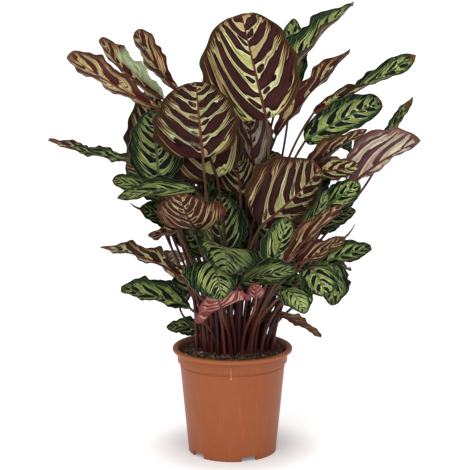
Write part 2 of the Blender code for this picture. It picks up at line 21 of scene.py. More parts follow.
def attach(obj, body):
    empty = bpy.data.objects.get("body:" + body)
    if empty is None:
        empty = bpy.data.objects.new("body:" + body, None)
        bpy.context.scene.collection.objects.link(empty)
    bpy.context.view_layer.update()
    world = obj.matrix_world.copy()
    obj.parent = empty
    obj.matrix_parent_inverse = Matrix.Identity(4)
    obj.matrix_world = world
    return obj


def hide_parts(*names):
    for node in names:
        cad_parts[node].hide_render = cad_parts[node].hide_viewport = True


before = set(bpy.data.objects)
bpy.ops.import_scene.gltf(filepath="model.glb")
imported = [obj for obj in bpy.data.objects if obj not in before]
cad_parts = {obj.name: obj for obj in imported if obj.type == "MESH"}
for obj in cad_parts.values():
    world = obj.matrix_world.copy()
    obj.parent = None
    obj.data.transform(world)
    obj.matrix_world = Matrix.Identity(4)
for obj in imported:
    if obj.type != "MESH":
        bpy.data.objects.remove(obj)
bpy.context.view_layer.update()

Array = np.ndarray
Pair = tuple[float, float]
Triple = tuple[float, float, float]
Socket = bpy.types.NodeSocket

LOG = logging.getLogger("peacock_plant")
MM = 0.001
SOIL_LEVEL = 116.0

# Leaves, as in their solids
STALK_FOOT_RADIUS = 1.8
STALK_TOP_RADIUS = 1.35
HOLE_DEPTH = 22.0
ROW_LENGTH = 12.0
ROWS_LEAST = 5
ROWS_MOST = 10
STALK_STATIONS = np.array([0.0, 0.27, 0.52, 0.76, 0.96])
FOOT_SPACING = 7.6
FOOT_REACH = 0.36
FOOT_CIRCLE = 48.0
FOOT_PUSHES = 200
PUSH_SHARE = 0.9
SLIDES = (0, 6, -6, 12, -12, 18, -18, 24, -24, 31, -31)
ROLLS = (0, 12, -12, 24, -24)
STALK_BOWS = (0, 9, -9, 18, -18, 28, -28)
SLIDE_WAY = np.array([0.0, 1.0, -0.16])
SOLID_THICKNESS = (1.2, 0.7)
SOLID_COLUMNS = np.linspace(-1.0, 1.0, 5)

# Leaves, as they are drawn here. A swelling is its height and where it lies along the stalk
BLADE_THICKNESS = (0.9, 0.4)
RUFFLE = 0.9
FOOT_SWELLING = (0.5, 0.12)
JOINT_SWELLING = (0.3, 0.95, 0.03)
RIB_START = 1.3
RIB_END = 0.28
RIB_TAPER = 0.8
RIB_SINK = 0.2
TAIL_CURL = 0.7
TAIL_RINGS = 12
TAIL_OVERLAP = 2.0
TAIL_RADIUS = 0.8
TAIL_FLATNESS = 0.4

# Veins: the power of the distance from the midrib by which they bend forward, and the most that
# they run forward at the margin, against the blade's length
VEIN_SWEEP = 1.5
RUN_MOST = 0.75

# Strands that a pale tongue splits into: their width, and the fewest and most in a turn
STRAND_WIDTH = 3.1
STRANDS_LEAST = 3.5
STRANDS_MOST = 6.0

# Root threads on the soil
THREAD_RINGS = 10

# Small shaded leaves: between which levels they stand, and where (x, z) the first of them do
CLUMP_LEVELS = (150.0, 350.0)
FULL_PLACES = np.array([(104, 262), (-42, 188), (128, 356), (82, 217), (-27, 308), (-48, 240),
                        (58, 198), (-74, 282)])
TRIES_A_PLACE = 60


def tint(red: int, green: int, blue: int) -> Triple:
    """A colour given as eye-even values of 0 to 255, as the linear shares that shaders take."""
    shares = np.array([red, green, blue]) / 255.0
    linear = np.where(shares <= 0.04045, shares / 12.92, ((shares + 0.055) / 1.055) ** 2.4)
    return tuple(float(share) for share in linear)


class Dress(Enum):
    """Which pair of finishes a blade wears."""
    GREEN = "green above, maroon below"
    YOUNG = "pink, newly unrolled"
    FADED = "pale pink and dull purple below"
    RUSTY = "orange-brown and cream below"
    CURLED = "maroon below, with margins folded over that show the green face"
    DRIED = "brown and papery"


@dataclass(frozen=True)
class Leaf:
    """A leaf's plan: where its blade lies, how it is shaped, and how its markings differ.

    Args:
        name: Of its node.
        heart: Where the stalk meets the blade.
        apex: Where the blade ends.
        width: Of the blade.
        green: Which way its green face looks.
        bow: How far the midrib's middle is lifted to that side.
        cup: How far the margins turn to that side, in degrees.
        wave: Height of the margins' waves.
        waves: Their number.
        twist: Of the blade from heart to apex, in degrees.
        belly: Where the blade is widest: nearer to its heart below 1, and to its apex above.
        blunt: How it narrows to its ends: fuller towards 0, and more pointed towards 1.
        tip: Width of its very end.
        lean: By what share one half of the blade is the wider.
        dress: The finishes of the blade's two faces.
        count: Lenses along each side of the midrib.
        tone: Brightness, from 0 to 1: partly the leaf's own, partly painted shade on hidden leaves.
        dryness: How much of the tip has turned brown, from 0 to 1.
        fullness: How wide the pale tongues are, with 1 as they mostly are.
        tail: Length of the dried thread that ends the tip.
        run: How far the veins run forward, against the half width.
        skew: How much further they do so in the second half of the blade than in the first.
    """
    name: str
    heart: Triple
    apex: Triple
    width: float
    green: Triple
    bow: float = 4.0
    cup: float = 20.0
    wave: float = 2.5
    waves: float = 2.0
    twist: float = 0.0
    belly: float = 0.8
    blunt: float = 0.7
    tip: float = 1.6
    lean: float = 0.0
    dress: Dress = Dress.GREEN
    count: float = 5.6
    tone: float = 0.22
    dryness: float = 0.12
    fullness: float = 1.0
    tail: float = 0.0
    run: float = 0.85
    skew: float = 0.0


# Leaves from the showiest to the most hidden
LEAVES: tuple[Leaf, ...] = (
    Leaf("leaf_crown", (38, -45, 396), (10, -28, 511), 112, (0, 1, 0), -7, 28, 2.5, 1.5, belly=0.86,
         blunt=0.4, lean=0.13, count=4.7, tone=0.5, run=0.8, skew=0.3),
    Leaf("leaf_second", (-32, -75, 357), (-40, -52, 438), 97, (0, 1, 0), -7, 28, 1.5, 1.5, blunt=0.45,
         lean=0.12, count=5.0, tone=0.3, run=0.42),
    Leaf("leaf_third", (31, -50, 276), (99, -30, 339), 84, (0, 1, 0), -5, 25, 2, 1.5, blunt=0.5,
         lean=0.3, count=4.8, tone=0.4, dryness=0.2, fullness=0.95, run=0.62),
    Leaf("leaf_fourth", (-17, -50, 331), (-46, -22, 417), 92, (0, 1, 0.1), -5, 25, 2, 1.5, blunt=0.5,
         lean=0.1, count=4.6, tone=0.25),
    Leaf("leaf_left_paddle", (-82, -10, 403), (-182, -30, 466), 37, (0.3, 0.7, 0.6), -3, 30, 3, 3,
         belly=1.7, blunt=0.42, tip=8, dress=Dress.RUSTY, count=3.4, tone=0.64, dryness=0.2,
         fullness=1.3, run=1.1),
    Leaf("leaf_left_curled", (-79, 15, 413), (-151, 20, 480), 35, (0.4, 0.8, 0.5), -10, 70, 4, 3,
         belly=1.0, blunt=0.6, tip=8, dress=Dress.CURLED, count=3.2, tone=0.62, dryness=0.3,
         fullness=1.3, run=1.1),
    Leaf("leaf_left_upright", (-59, 20, 418), (-110, 30, 489), 32, (0.5, 0.8, 0.4), -7, 30, 2.5, 2.5,
         belly=1.8, blunt=0.6, tip=6, dress=Dress.RUSTY, count=3.0, tone=0.64, dryness=0.2, fullness=1.3,
         run=1.1),
    Leaf("leaf_top_right", (55, 40, 418), (139, 60, 518), 66, (-0.7, -0.25, 0.6), 7, 48, 4, 3, belly=0.8,
         blunt=0.6, tip=8, count=5.0, tone=0.62, dryness=0.1, fullness=1.3, tail=5.0),
    Leaf("leaf_top_behind", (68, 72, 419), (72, 75, 501), 38, (-0.3, -1, 0.2), 5, 25, 3, count=3.4,
         tone=0.62, fullness=1.3),
    Leaf("leaf_right_long", (49, 10, 371), (133, 25, 465), 45, (-0.75, 0.5, 0.45), 3, 45, 5, 2.5,
         belly=0.78, tip=6, dress=Dress.RUSTY, count=3.4, tone=0.56, dryness=0.4, tail=6.0, run=1.2),
    Leaf("leaf_right_twisted", (93, 20, 396), (207, 20, 460), 34, (-0.54, 0, 0.84), -2, 30, 2.5, 2.5,
         twist=150, belly=1.0, tip=7, count=4.2, tone=0.56, dryness=0.2, fullness=1.2, tail=5.0,
         run=1.1),
    Leaf("leaf_right_bright", (83, 10, 365), (170, 10, 410), 44, (-0.3, -0.85, 0.5), 4, 35, 2, 2,
         belly=1.1, blunt=0.4, count=4.6, tone=0.45, fullness=1.2, run=0.7),
    Leaf("leaf_right_tipped", (177, 20, 362), (204, 15, 409), 14, (-0.5, -0.7, 0.5), 2, 40, 1, 1.5,
         belly=0.75, tip=6, count=3.6, tone=0.5, dryness=1.0, tail=8.0),
    Leaf("leaf_right_pale", (134, 0, 314), (213, -10, 368), 45, (-0.35, 0.85, 0.4), 6, 40, 3, 2,
         belly=0.9, blunt=0.6, tip=4, lean=0.6, dress=Dress.FADED, count=2.6, tone=0.66, dryness=0.4,
         fullness=1.3, run=2.6),
    Leaf("leaf_left_thin_a", (-113, 10, 349), (-207, -20, 370), 24, (0, 0.25, 1), -4, 20, 3, 3, twist=40,
         belly=0.85, tip=6, count=4.0, tone=0.4, dryness=0.6),
    Leaf("leaf_left_thin_b", (-114, -14, 345), (-186, -34, 363), 26, (0, -0.3, 1), -1, 25, 3, 2.5,
         count=4.0, tone=0.4),
    Leaf("leaf_left_dark_back", (-93, -5, 324), (-97, 15, 424), 60, (-0.35, 0.9, 0), -5, 25, 3,
         blunt=0.6, count=4.4),
    Leaf("leaf_left_green", (-82, -45, 328), (-89, -38, 405), 62, (0.1, -1, 0.2), 5, 20, 2, blunt=0.55,
         count=6.4, tone=0.24, fullness=1.1, run=0.7),
    Leaf("leaf_left_flat", (-81, -35, 306), (-133, -58, 329), 34, (-0.2, -0.6, 0.8), 4, 25, 2, blunt=0.5,
         count=4.0, tone=0.48, fullness=1.3, run=1.3),
    Leaf("leaf_left_yellow", (-41, -62, 319), (-126, -80, 313), 36, (0, -0.45, 0.9), 4, 35, 2.5,
         count=4.0, tone=0.44, fullness=1.7, run=1.6),
    Leaf("leaf_left_shaded", (-66, -20, 273), (-104, -45, 295), 38, (0, -0.6, 0.8), 3, 20, 2, count=4.4,
         tone=0.25, tail=18.0, dryness=0.6),
    Leaf("leaf_front_fan", (-37, -82, 278), (-56, -122, 325), 82, (0.15, 0.75, 0.6), -8, 30, 4,
         blunt=0.6, dress=Dress.RUSTY, count=5.0, tone=0.34, dryness=0.1),
    Leaf("leaf_left_dark", (-52, -60, 280), (-92, -105, 277), 32, (0.1, 0.85, 0.5), -3, 20, 3, count=4.0,
         tone=0.3, dryness=0.5),
    Leaf("leaf_low_left_waved", (-52, -55, 216), (-145, -80, 258), 38, (0.2, 0.6, 0.8), 8, 30, 4, 3,
         belly=0.95, tip=5, count=4.2, tone=0.45, dryness=0.2),
    Leaf("leaf_front_wide", (-15, -75, 259), (-7, -138, 241), 86, (0.42, -0.45, 0.8), 9, 20, 3, 1.5,
         blunt=0.6, count=5.4, tone=0.32, fullness=1.8, run=1.1),
    Leaf("leaf_front_drooping", (-22, -92, 246), (-11, -132, 211), 60, (0, -0.65, 0.75), 7, 15, 2,
         blunt=0.65, lean=0.2, count=5.0, tone=0.56, fullness=1.5),
    Leaf("leaf_front_right", (9, -80, 218), (71, -98, 236), 34, (0, -0.65, 0.75), 4, 25, 2.5, tip=6,
         count=4.4, tone=0.26, dryness=0.2, fullness=1.7, run=1.3),
    Leaf("leaf_front_pink", (-12, -92, 192), (-19, -125, 218), 64, (-0.4, 0.6, 0.7), -3, -25, 3,
         blunt=0.6, dress=Dress.YOUNG, count=4.6, tone=0.5),
    Leaf("leaf_front_bud", (26, -78, 201), (26, -104, 223), 18, (0, 0.8, 0.6), -2, 30, 1, 1,
         dress=Dress.YOUNG, count=3.0, tone=0.5),
    Leaf("leaf_low_left_folded", (-47, -66, 187), (-124, -76, 210), 43, (0.1, -0.4, 0.9), 2, 45, 3, 2.5,
         belly=0.95, tip=8, count=4.0, tone=0.4, dryness=0.3),
    Leaf("leaf_low_left_small", (-34, -2, 143), (-78, 2, 145), 26, (0, -0.6, 0.8), 2, 20, 1.5,
         count=4.0),
    Leaf("leaf_low_right_pale", (58, -62, 206), (80, -98, 187), 42, (0.3, -0.7, 0.6), 7, 15, 2,
         count=5.0, tone=0.95, fullness=1.8),
    Leaf("leaf_right_round", (89, -55, 229), (104, -84, 204), 46, (0.1, -0.8, 0.6), 5, 15, 2, blunt=0.5,
         count=2.8, tone=0.56, fullness=1.1),
    Leaf("leaf_right_hanging", (108, -20, 230), (113, -46, 184), 44, (0.5, -0.75, 0.4), 6, 15, 2,
         blunt=0.6, count=2.8, tone=0.46, fullness=1.1),
    Leaf("leaf_right_low_long", (96, -42, 229), (156, -50, 252), 27, (-0.2, -0.7, 0.7), 3, 35, 3, 2,
         belly=1.0, tip=6, count=4.4, tone=0.42),
    Leaf("leaf_low_right_brown", (52, -10, 167), (102, -25, 143), 19, (0.3, 0.6, 0.6), 1, 30, 2, tip=5,
         dress=Dress.DRIED, count=4.0, tone=0.5),
    Leaf("leaf_inner_back", (9, -25, 309), (4, -8, 356), 48, (-0.1, 1, 0), -3, 20, 2),
    Leaf("leaf_upper_pale", (25, 5, 337), (20, 15, 411), 48, (0.4, 1, 0), -4, 30, 4, 2.5,
         dress=Dress.FADED, count=3.2, tone=0.5, fullness=1.3, run=1.4),
    Leaf("leaf_right_edge_on", (81, 0, 333), (152, -15, 381), 34, (-0.5, 0.65, 0.6), 1, 45, 2.5,
         dress=Dress.RUSTY, count=4.4, tone=0.5, run=1.2),
    Leaf("leaf_right_small", (95, -15, 333), (142, -30, 342), 30, (0, 0.9, 0.4), -2, 20, 2, blunt=0.6,
         count=3.2, tone=0.62, fullness=1.3),
    Leaf("leaf_right_mid", (110, -20, 296), (143, -32, 323), 31, (0.2, -0.9, 0.3), 3, 20, 2, blunt=0.55,
         count=3.4, tone=0.5, fullness=1.3, run=1.2),
    Leaf("leaf_right_curved", (77, -30, 270), (107, -25, 313), 28, (0.7, -0.7, 0.2), 6, 30, 2, count=3.0,
         tone=0.6, fullness=1.4, run=1.4),
    Leaf("leaf_right_level", (95, 5, 266), (141, -5, 286), 34, (0, -0.7, 0.7), 4, 25, 2, count=4.4,
         tone=0.3),
    Leaf("leaf_right_brown", (73, -60, 237), (125, -72, 268), 36, (-0.2, 0.7, 0.6), -3, 35, 3,
         dress=Dress.RUSTY, count=4.2, tone=0.34, tail=20.0, dryness=0.5, run=1.3),
    Leaf("leaf_right_striped", (59, -65, 238), (122, -60, 302), 32, (-0.5, 0.7, 0.4), 3, 30, 3,
         dress=Dress.RUSTY, count=2.8, tone=0.5, fullness=1.1, run=1.8),
    Leaf("leaf_inner_striped", (44, -45, 230), (61, -37, 284), 48, (0, -1, 0.2), 4, 20, 2, count=3.0,
         tone=0.6, fullness=1.8, run=2.4),
    Leaf("leaf_left_dark_low", (-84, -22, 314), (-118, -18, 350), 42, (-0.2, 0.95, 0.2), -3, 20, 2,
         blunt=0.6),
    Leaf("leaf_inner_mid", (-8, -28, 245), (-14, -20, 308), 60, (0, -1, 0.2), 4, 20, 2),
    Leaf("leaf_back_tall", (9, 28, 363), (12, 58, 462), 62, (0, -1, 0.1), 5, 25, 2.5, blunt=0.55),
    Leaf("leaf_back_left_high", (-38, 46, 330), (-56, 78, 414), 80, (0.1, -1, 0.2), 6, 25, 2.5,
         blunt=0.5),
    Leaf("leaf_back_right_high", (12, 52, 313), (18, 88, 400), 68, (-0.1, -1, 0.25), 6, 25, 2.5,
         blunt=0.5),
    Leaf("leaf_back_left", (-70, 40, 280), (-102, 84, 334), 64, (0.4, -0.8, 0.4), 5, 25, 3, blunt=0.6),
    Leaf("leaf_back_right", (70, 44, 266), (104, 92, 322), 66, (-0.4, -0.8, 0.4), 5, 25, 3, blunt=0.6),
    Leaf("leaf_back_middle", (-8, 72, 262), (-20, 142, 292), 76, (0, 0.2, 1), 9, 20, 3, blunt=0.6),
    Leaf("leaf_back_left_low", (-48, 58, 223), (-79, 112, 192), 54, (-0.2, 0.4, 0.9), 8, 20, 3),
    Leaf("leaf_back_right_low", (52, 58, 218), (94, 108, 206), 58, (0.2, 0.3, 0.95), 8, 20, 3),
    Leaf("leaf_back_low", (6, 62, 190), (16, 122, 160), 54, (0, 0.5, 0.85), 9, 18, 3),
    Leaf("leaf_back_edge", (90, 20, 216), (140, 48, 204), 46, (0.2, 0.15, 0.95), 6, 20, 3),
)


def unit(vectors: Array) -> Array:
    """Vectors brought to length 1."""
    return vectors / np.linalg.norm(vectors, axis=-1, keepdims=True)


def square_to(vectors: Array, way: Array) -> Array:
    """The part of each vector that is square to a way, at length 1."""
    return unit(vectors - np.sum(vectors * way, axis=-1, keepdims=True) * way)


def turned_about(vector: Array, axis: Array, angle: float) -> Array:
    """A vector turned about a unit axis."""
    return (vector * math.cos(angle) + np.cross(axis, vector) * math.sin(angle)
            + axis * np.dot(axis, vector) * (1 - math.cos(angle)))


def smooth(value: Array, low: float, high: float) -> Array:
    """0 below low and 1 above high, with a smooth rise between."""
    share = np.clip((value - low) / (high - low), 0, 1)
    return share * share * (3 - 2 * share)


def placed(name: str, data: bpy.types.ID) -> bpy.types.Object:
    """A new object in the scene, at the origin."""
    made = bpy.data.objects.new(name, data)
    bpy.context.scene.collection.objects.link(made)
    return made


@dataclass
class Body:
    """A closed surface of quads, ready to become a mesh.

    Args:
        points: Corners in millimetres, (n, 3).
        quads: Corner numbers of each face, (m, 4), turning outwards.
        places: Pattern place of each face's corners, (m, 4, 2).
        slots: Material slot of each face, (m,).
        reach: Distance of each corner from its blade's midrib in millimetres, (n,).
    """
    points: Array
    quads: Array
    places: Array
    slots: Array
    reach: Array

    @staticmethod
    def loft(rings: Array, places: Array, slots: Array, reach: Array | None = None) -> "Body":
        """A closed body through rings that have the same even number of points.

        Quads run from each ring to the next one and round it. Each end is closed by quads that
        cross it from its first half to its second half.

        Args:
            rings: Points, (rings, sides, 3).
            places: Pattern places, (rings, sides + 1, 2), the last being the first one again.
            slots: Material slot of each strip between two sides, (sides,).
            reach: Distance from the midrib, (rings, sides).

        Returns:
            The body, with its faces turned outwards.
        """
        rows, sides = rings.shape[:2]
        row, side = np.meshgrid(np.arange(rows - 1), np.arange(sides), indexing="ij")
        corner_row = row[..., None] + np.array([0, 0, 1, 1])
        corner_side = side[..., None] + np.array([0, 1, 1, 0])
        half = np.arange(sides // 2 - 1)
        end = np.stack([half, sides - 1 - half, sides - 2 - half, half + 1], axis=1)
        cap_row = np.concatenate([np.zeros_like(end), np.full_like(end, rows - 1)])
        cap_side = np.concatenate([end, end[:, ::-1]])
        corner_row = np.concatenate([corner_row.reshape(-1, 4), cap_row])
        corner_side = np.concatenate([corner_side.reshape(-1, 4), cap_side])
        quads = corner_row * sides + corner_side % sides
        strip_slots = np.broadcast_to(slots, (rows - 1, sides)).reshape(-1)
        cap_slots = np.full(2 * len(half), slots[-1])
        flat = rings.reshape(-1, 3)
        body = Body(flat, quads, places[corner_row, corner_side],
                    np.concatenate([strip_slots, cap_slots]),
                    np.zeros(len(flat)) if reach is None else reach.reshape(-1))
        return body if body.volume() > 0 else body.turned_out()

    def volume(self) -> float:
        """Volume inside the faces, negative where they look inwards."""
        a, b, c, d = (self.points[self.quads[:, k]] for k in range(4))
        return float(np.sum(a * np.cross(b, c)) + np.sum(a * np.cross(c, d))) / 6

    def turned_out(self) -> "Body":
        """The same body with each face turned over."""
        return Body(self.points, self.quads[:, ::-1], self.places[:, ::-1], self.slots, self.reach)

    @staticmethod
    def joined(bodies: list["Body"]) -> "Body":
        """Several bodies as one, still closed each by itself."""
        starts = np.cumsum([0] + [len(body.points) for body in bodies[:-1]])
        return Body(np.concatenate([body.points for body in bodies]),
                    np.concatenate([body.quads + start for body, start in zip(bodies, starts)]),
                    np.concatenate([body.places for body in bodies]),
                    np.concatenate([body.slots for body in bodies]),
                    np.concatenate([body.reach for body in bodies]))

    def piece(self, name: str, materials: list[bpy.types.Material],
              marks: dict[str, Array] | None = None) -> bpy.types.Object:
        """An object at the origin with this surface.

        Args:
            name: Name of the object.
            materials: What its slots hold.
            marks: Further values of each corner, (n, 3) by attribute name.

        Returns:
            The object, linked to the scene and shaded smooth.
        """
        mesh = bpy.data.meshes.new(name)
        mesh.vertices.add(len(self.points))
        mesh.vertices.foreach_set("co", (self.points * MM).astype(np.float32).ravel())
        mesh.loops.add(self.quads.size)
        mesh.loops.foreach_set("vertex_index", self.quads.astype(np.int32).ravel())
        mesh.polygons.add(len(self.quads))
        mesh.polygons.foreach_set("loop_start", np.arange(0, self.quads.size, 4, dtype=np.int32))
        mesh.polygons.foreach_set("material_index", self.slots.astype(np.int32))
        mesh.update(calc_edges=True)
        mesh.uv_layers.new(name="place")
        mesh.uv_layers["place"].uv.foreach_set("vector", self.places.astype(np.float32).ravel())
        distance = mesh.attributes.new("reach", "FLOAT", "POINT")
        distance.data.foreach_set("value", self.reach.astype(np.float32))
        for mark, values in (marks or {}).items():
            layer = mesh.attributes.new(mark, "FLOAT_VECTOR", "POINT")
            layer.data.foreach_set("vector", values.astype(np.float32).ravel())
        for material in materials:
            mesh.materials.append(material)
        mesh.validate()
        mesh.shade_smooth()
        return placed(name, mesh)


def tube(path: Array, ways: Array, side: Array, radii: Array, sides: int, slot: int,
         rise: Array, flat: float = 1.0) -> Body:
    """A closed tube along a path.

    Each ring is a circle square to the path there. Its first side is carried from ring to ring
    without turning about the path.

    Args:
        path: Middles of the rings, (n, 3).
        ways: The path's direction at each, (n, 3).
        side: Which way the first point of the first ring lies.
        radii: Radius of each ring.
        sides: Points round a ring, an even number.
        slot: Material slot.
        rise: Pattern place along the tube at each ring.
        flat: How thick a ring is against its width.

    Returns:
        The tube's body.
    """
    first = []
    for way in ways:
        side = square_to(side, way)
        first.append(side)
    first = np.array(first)
    second = np.cross(ways, first)
    angles = 2 * np.pi * np.arange(sides) / sides
    rings = path[:, None] + radii[:, None, None] * (
        np.cos(angles)[None, :, None] * first[:, None]
        + flat * np.sin(angles)[None, :, None] * second[:, None])
    round_it = np.arange(sides + 1) / sides
    places = np.stack(np.broadcast_arrays(round_it[None, :], rise[:, None]), axis=-1)
    return Body.loft(rings, places, np.full(sides, slot))


class Stem:
    """A leaf as its solid grew: its plan, with a slide in depth, a roll and a bow of the stalk."""

    def __init__(self, leaf: Leaf, foot: Array, slide: float = 0.0, roll: float = 0.0,
                 stalk_bow: Pair = (0.0, 0.0)) -> None:
        """Work out the leaf's heart, apex and faces.

        Args:
            leaf: The plan.
            foot: Where the stalk stands in the soil, (x, y).
            slide: Shift in depth.
            roll: Turn about the midrib, in degrees.
            stalk_bow: Sideways bow of the stalk, (x, y).
        """
        self.leaf = leaf
        self.foot = np.array([foot[0], foot[1], SOIL_LEVEL])
        self.heart = np.array(leaf.heart, float) + slide * SLIDE_WAY
        self.apex = np.array(leaf.apex, float) + slide * SLIDE_WAY
        chord = unit(self.apex - self.heart)
        face = square_to(np.array(leaf.green, float), chord)
        self.face = turned_about(face, chord, math.radians(roll))
        self.middle = (self.heart + self.apex) / 2 + 2 * leaf.bow * self.face
        self.stalk_bow = np.array([*stalk_bow, 0.0])

    def midrib(self, t: Array) -> tuple[Array, Array, Array, Array]:
        """The midrib, a parabola from heart to apex, and the blade's frame along it.

        Args:
            t: Shares of the blade's length, (n, 1).

        Returns:
            Points, directions, normals to the green face, and sideways directions, (n, 3) each.
        """
        line = (1 - t) ** 2 * self.heart + 2 * t * (1 - t) * self.middle + t ** 2 * self.apex
        along = unit((1 - t) * (self.middle - self.heart) + t * (self.apex - self.middle))
        normal = square_to(np.broadcast_to(self.face, along.shape), along)
        side = np.cross(along, normal)
        turn = math.radians(self.leaf.twist) * (t - 0.5)
        return (line, along, normal * np.cos(turn) + side * np.sin(turn),
                side * np.cos(turn) - normal * np.sin(turn))

    def blade(self, stations: Array, columns: Array, thickness: Pair,
              ruffle: float = 0.0) -> tuple[Array, Array, Array]:
        """Both faces of the blade as grids of points.

        The blade turns about the midrib on an arc (cup), its margins rise and fall with a sine
        along it (wave), and a finer ruffle follows the margin. Its half width is the sum of two
        small ends and width x sin(pi t^belly)^blunt.

        Args:
            stations: Shares of the length, (rows,).
            columns: Shares of the half width, from -1 to 1, (columns,).
            thickness: At the midrib and at the margin.
            ruffle: Height of the finer ruffle, which also scallops the margin.

        Returns:
            The green face, the underside and the distance from the midrib.
        """
        leaf = self.leaf
        t = stations[:, None]
        line, _, normal, side = self.midrib(t)
        fullness = np.sin(np.pi * stations ** leaf.belly).clip(0) ** leaf.blunt
        ends = (1 - stations) * 2 * STALK_TOP_RADIUS + stations * leaf.tip
        half = 0.5 * (ends + leaf.width * fullness)[:, None]
        radius = leaf.width / 2 / math.radians(leaf.cup)
        v = columns[None, :]
        swing = 2 * np.pi * (3.3 * leaf.waves * t + 0.6 * (v > 0)) + leaf.width
        scallop = 1 + 0.05 * ruffle * np.abs(v) * np.sin(0.7 * swing)
        reach = v * half * (1 + leaf.lean * np.sign(v)) * scallop
        across = radius * np.sin(reach / radius)
        lift = radius * (1 - np.cos(reach / radius))
        phase = 2 * np.pi * (leaf.waves * t + 0.35 * (v > 0))
        lift = lift + leaf.wave * fullness[:, None] * np.abs(v) ** 1.5 * np.sin(phase)
        lift = lift + ruffle * fullness[:, None] * np.abs(v) ** 3 * np.sin(swing)
        sheet = line[:, None] + across[..., None] * side[:, None] + lift[..., None] * normal[:, None]
        outward = unit(np.cross(np.gradient(sheet, axis=1), np.gradient(sheet, axis=0)))
        edge = np.abs(v)[..., None]
        thick = (thickness[0] * (1 - edge) + thickness[1] * edge) / 2
        return sheet + thick * outward, sheet - thick * outward, np.abs(reach)

    def stalk_path(self, stations: Array) -> tuple[Array, Array]:
        """Points and directions along the stalk, a cubic curve from the soil into the blade."""
        start = self.foot + (0, 0, 2.0)
        reach = np.linalg.norm(self.heart - start)
        first = unit(self.middle - self.heart)
        arrival = unit(first + (0, 0, 0.9))
        lower = start + (0, 0, 0.42 * reach) + 0.5 * self.stalk_bow
        upper = self.heart - 0.33 * reach * arrival + self.stalk_bow
        u = stations[:, None]
        path = ((1 - u) ** 3 * start + 3 * u * (1 - u) ** 2 * lower
                + 3 * u ** 2 * (1 - u) * upper + u ** 3 * self.heart)
        ways = unit((1 - u) ** 2 * (lower - start) + 2 * u * (1 - u) * (upper - lower)
                    + u ** 2 * (self.heart - upper))
        return path, ways

    def solid_stations(self) -> Array:
        """Where the rows of the leaf's solid lie along its blade."""
        length = np.linalg.norm(self.apex - self.heart)
        rows = int(np.clip(round(length / ROW_LENGTH), ROWS_LEAST, ROWS_MOST))
        even = np.linspace(0, 1, rows + 1)
        return 0.45 * even + 0.55 * (1 - np.cos(np.pi * even)) / 2

    def blade_misfit(self, corners: Array) -> float:
        """Mean distance from the solid's blade, as this stem has it, to the corners of its node."""
        top, _, _ = self.blade(self.solid_stations(), SOLID_COLUMNS, SOLID_THICKNESS)
        return misfit(top.reshape(-1, 3), corners)

    def stalk_misfit(self, corners: Array) -> float:
        """Mean distance from the solid's stalk, as this stem has it, to its radius off its node."""
        path, _ = self.stalk_path(STALK_STATIONS)
        return misfit(path, corners)

    @staticmethod
    def found(leaf: Leaf, foot: Array) -> "Stem":
        """The stem whose blade and stalk lie where the leaf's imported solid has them."""
        corners, _ = solid_of(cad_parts[leaf.name])
        corners = np.unique(np.round(corners, 2), axis=0)
        placing = min(product(SLIDES, ROLLS),
                      key=lambda place: Stem(leaf, foot, *place).blade_misfit(corners))
        bow = min(product(STALK_BOWS, repeat=2),
                  key=lambda bows: Stem(leaf, foot, *placing, bows).stalk_misfit(corners))
        return Stem(leaf, foot, *placing, bow)


def misfit(points: Array, corners: Array) -> float:
    """Mean distance from points to the nearest of some corners."""
    apart = np.linalg.norm(points[:, None] - corners[None], axis=2)
    return float(apart.min(axis=1).mean())


def spread_feet(leaves: tuple[Leaf, ...]) -> Array:
    """Where the stalks stand in the soil: under their hearts, drawn in, and then pushed apart."""
    hearts = np.array([leaf.heart[:2] for leaf in leaves], float)
    feet = hearts * FOOT_REACH
    for _ in range(FOOT_PUSHES):
        apart = feet[:, None] - feet[None]
        distance = np.linalg.norm(apart, axis=2) + np.eye(len(feet)) * 1e6
        push = np.clip(FOOT_SPACING - distance, 0, None) / np.maximum(distance, 0.01) / 2
        feet = feet + np.sum(apart * push[:, :, None], axis=1) * PUSH_SHARE
        reach = np.linalg.norm(feet, axis=1, keepdims=True)
        feet = feet * np.minimum(1.0, FOOT_CIRCLE / reach)
    return feet


def laid(operation: str) -> Callable[..., "Signal"]:
    """A method that lays a math node on a signal and on the values that it is given."""
    def method(self: "Signal", *values: "Value") -> "Signal":
        """The result of the math node."""
        return self.tree.math(operation, self, *values)
    return method


class Signal:
    """A value, vector or colour in a shader tree. Arithmetic on it lays math nodes."""

    def __init__(self, tree: "Tree", socket: Socket) -> None:
        """Stand for one socket of a tree."""
        self.tree = tree
        self.socket = socket

    __add__ = laid("ADD")
    __sub__ = laid("SUBTRACT")
    __mul__ = laid("MULTIPLY")
    __truediv__ = laid("DIVIDE")
    __pow__ = laid("POWER")
    __abs__ = laid("ABSOLUTE")
    __gt__ = laid("GREATER_THAN")
    most = laid("MAXIMUM")
    floor = laid("FLOOR")
    fract = laid("FRACT")
    root = laid("SQRT")
    cosine = laid("COSINE")

    def __rsub__(self, other: float) -> "Signal":
        """A number less this value."""
        return self.tree.math("SUBTRACT", other, self)

    def span(self, low: float, high: float) -> "Signal":
        """A share of 0 to 1 brought to run from low to high."""
        return self.tree.math("MULTIPLY_ADD", self, high - low, low)

    def step(self, low: "Value", high: "Value") -> "Signal":
        """0 below low and 1 above high, with a smooth rise between."""
        return self.tree.out("MapRange", {"Value": self, "From Min": low, "From Max": high},
                             "Result", interpolation_type="SMOOTHSTEP")


Value = Signal | float | Triple


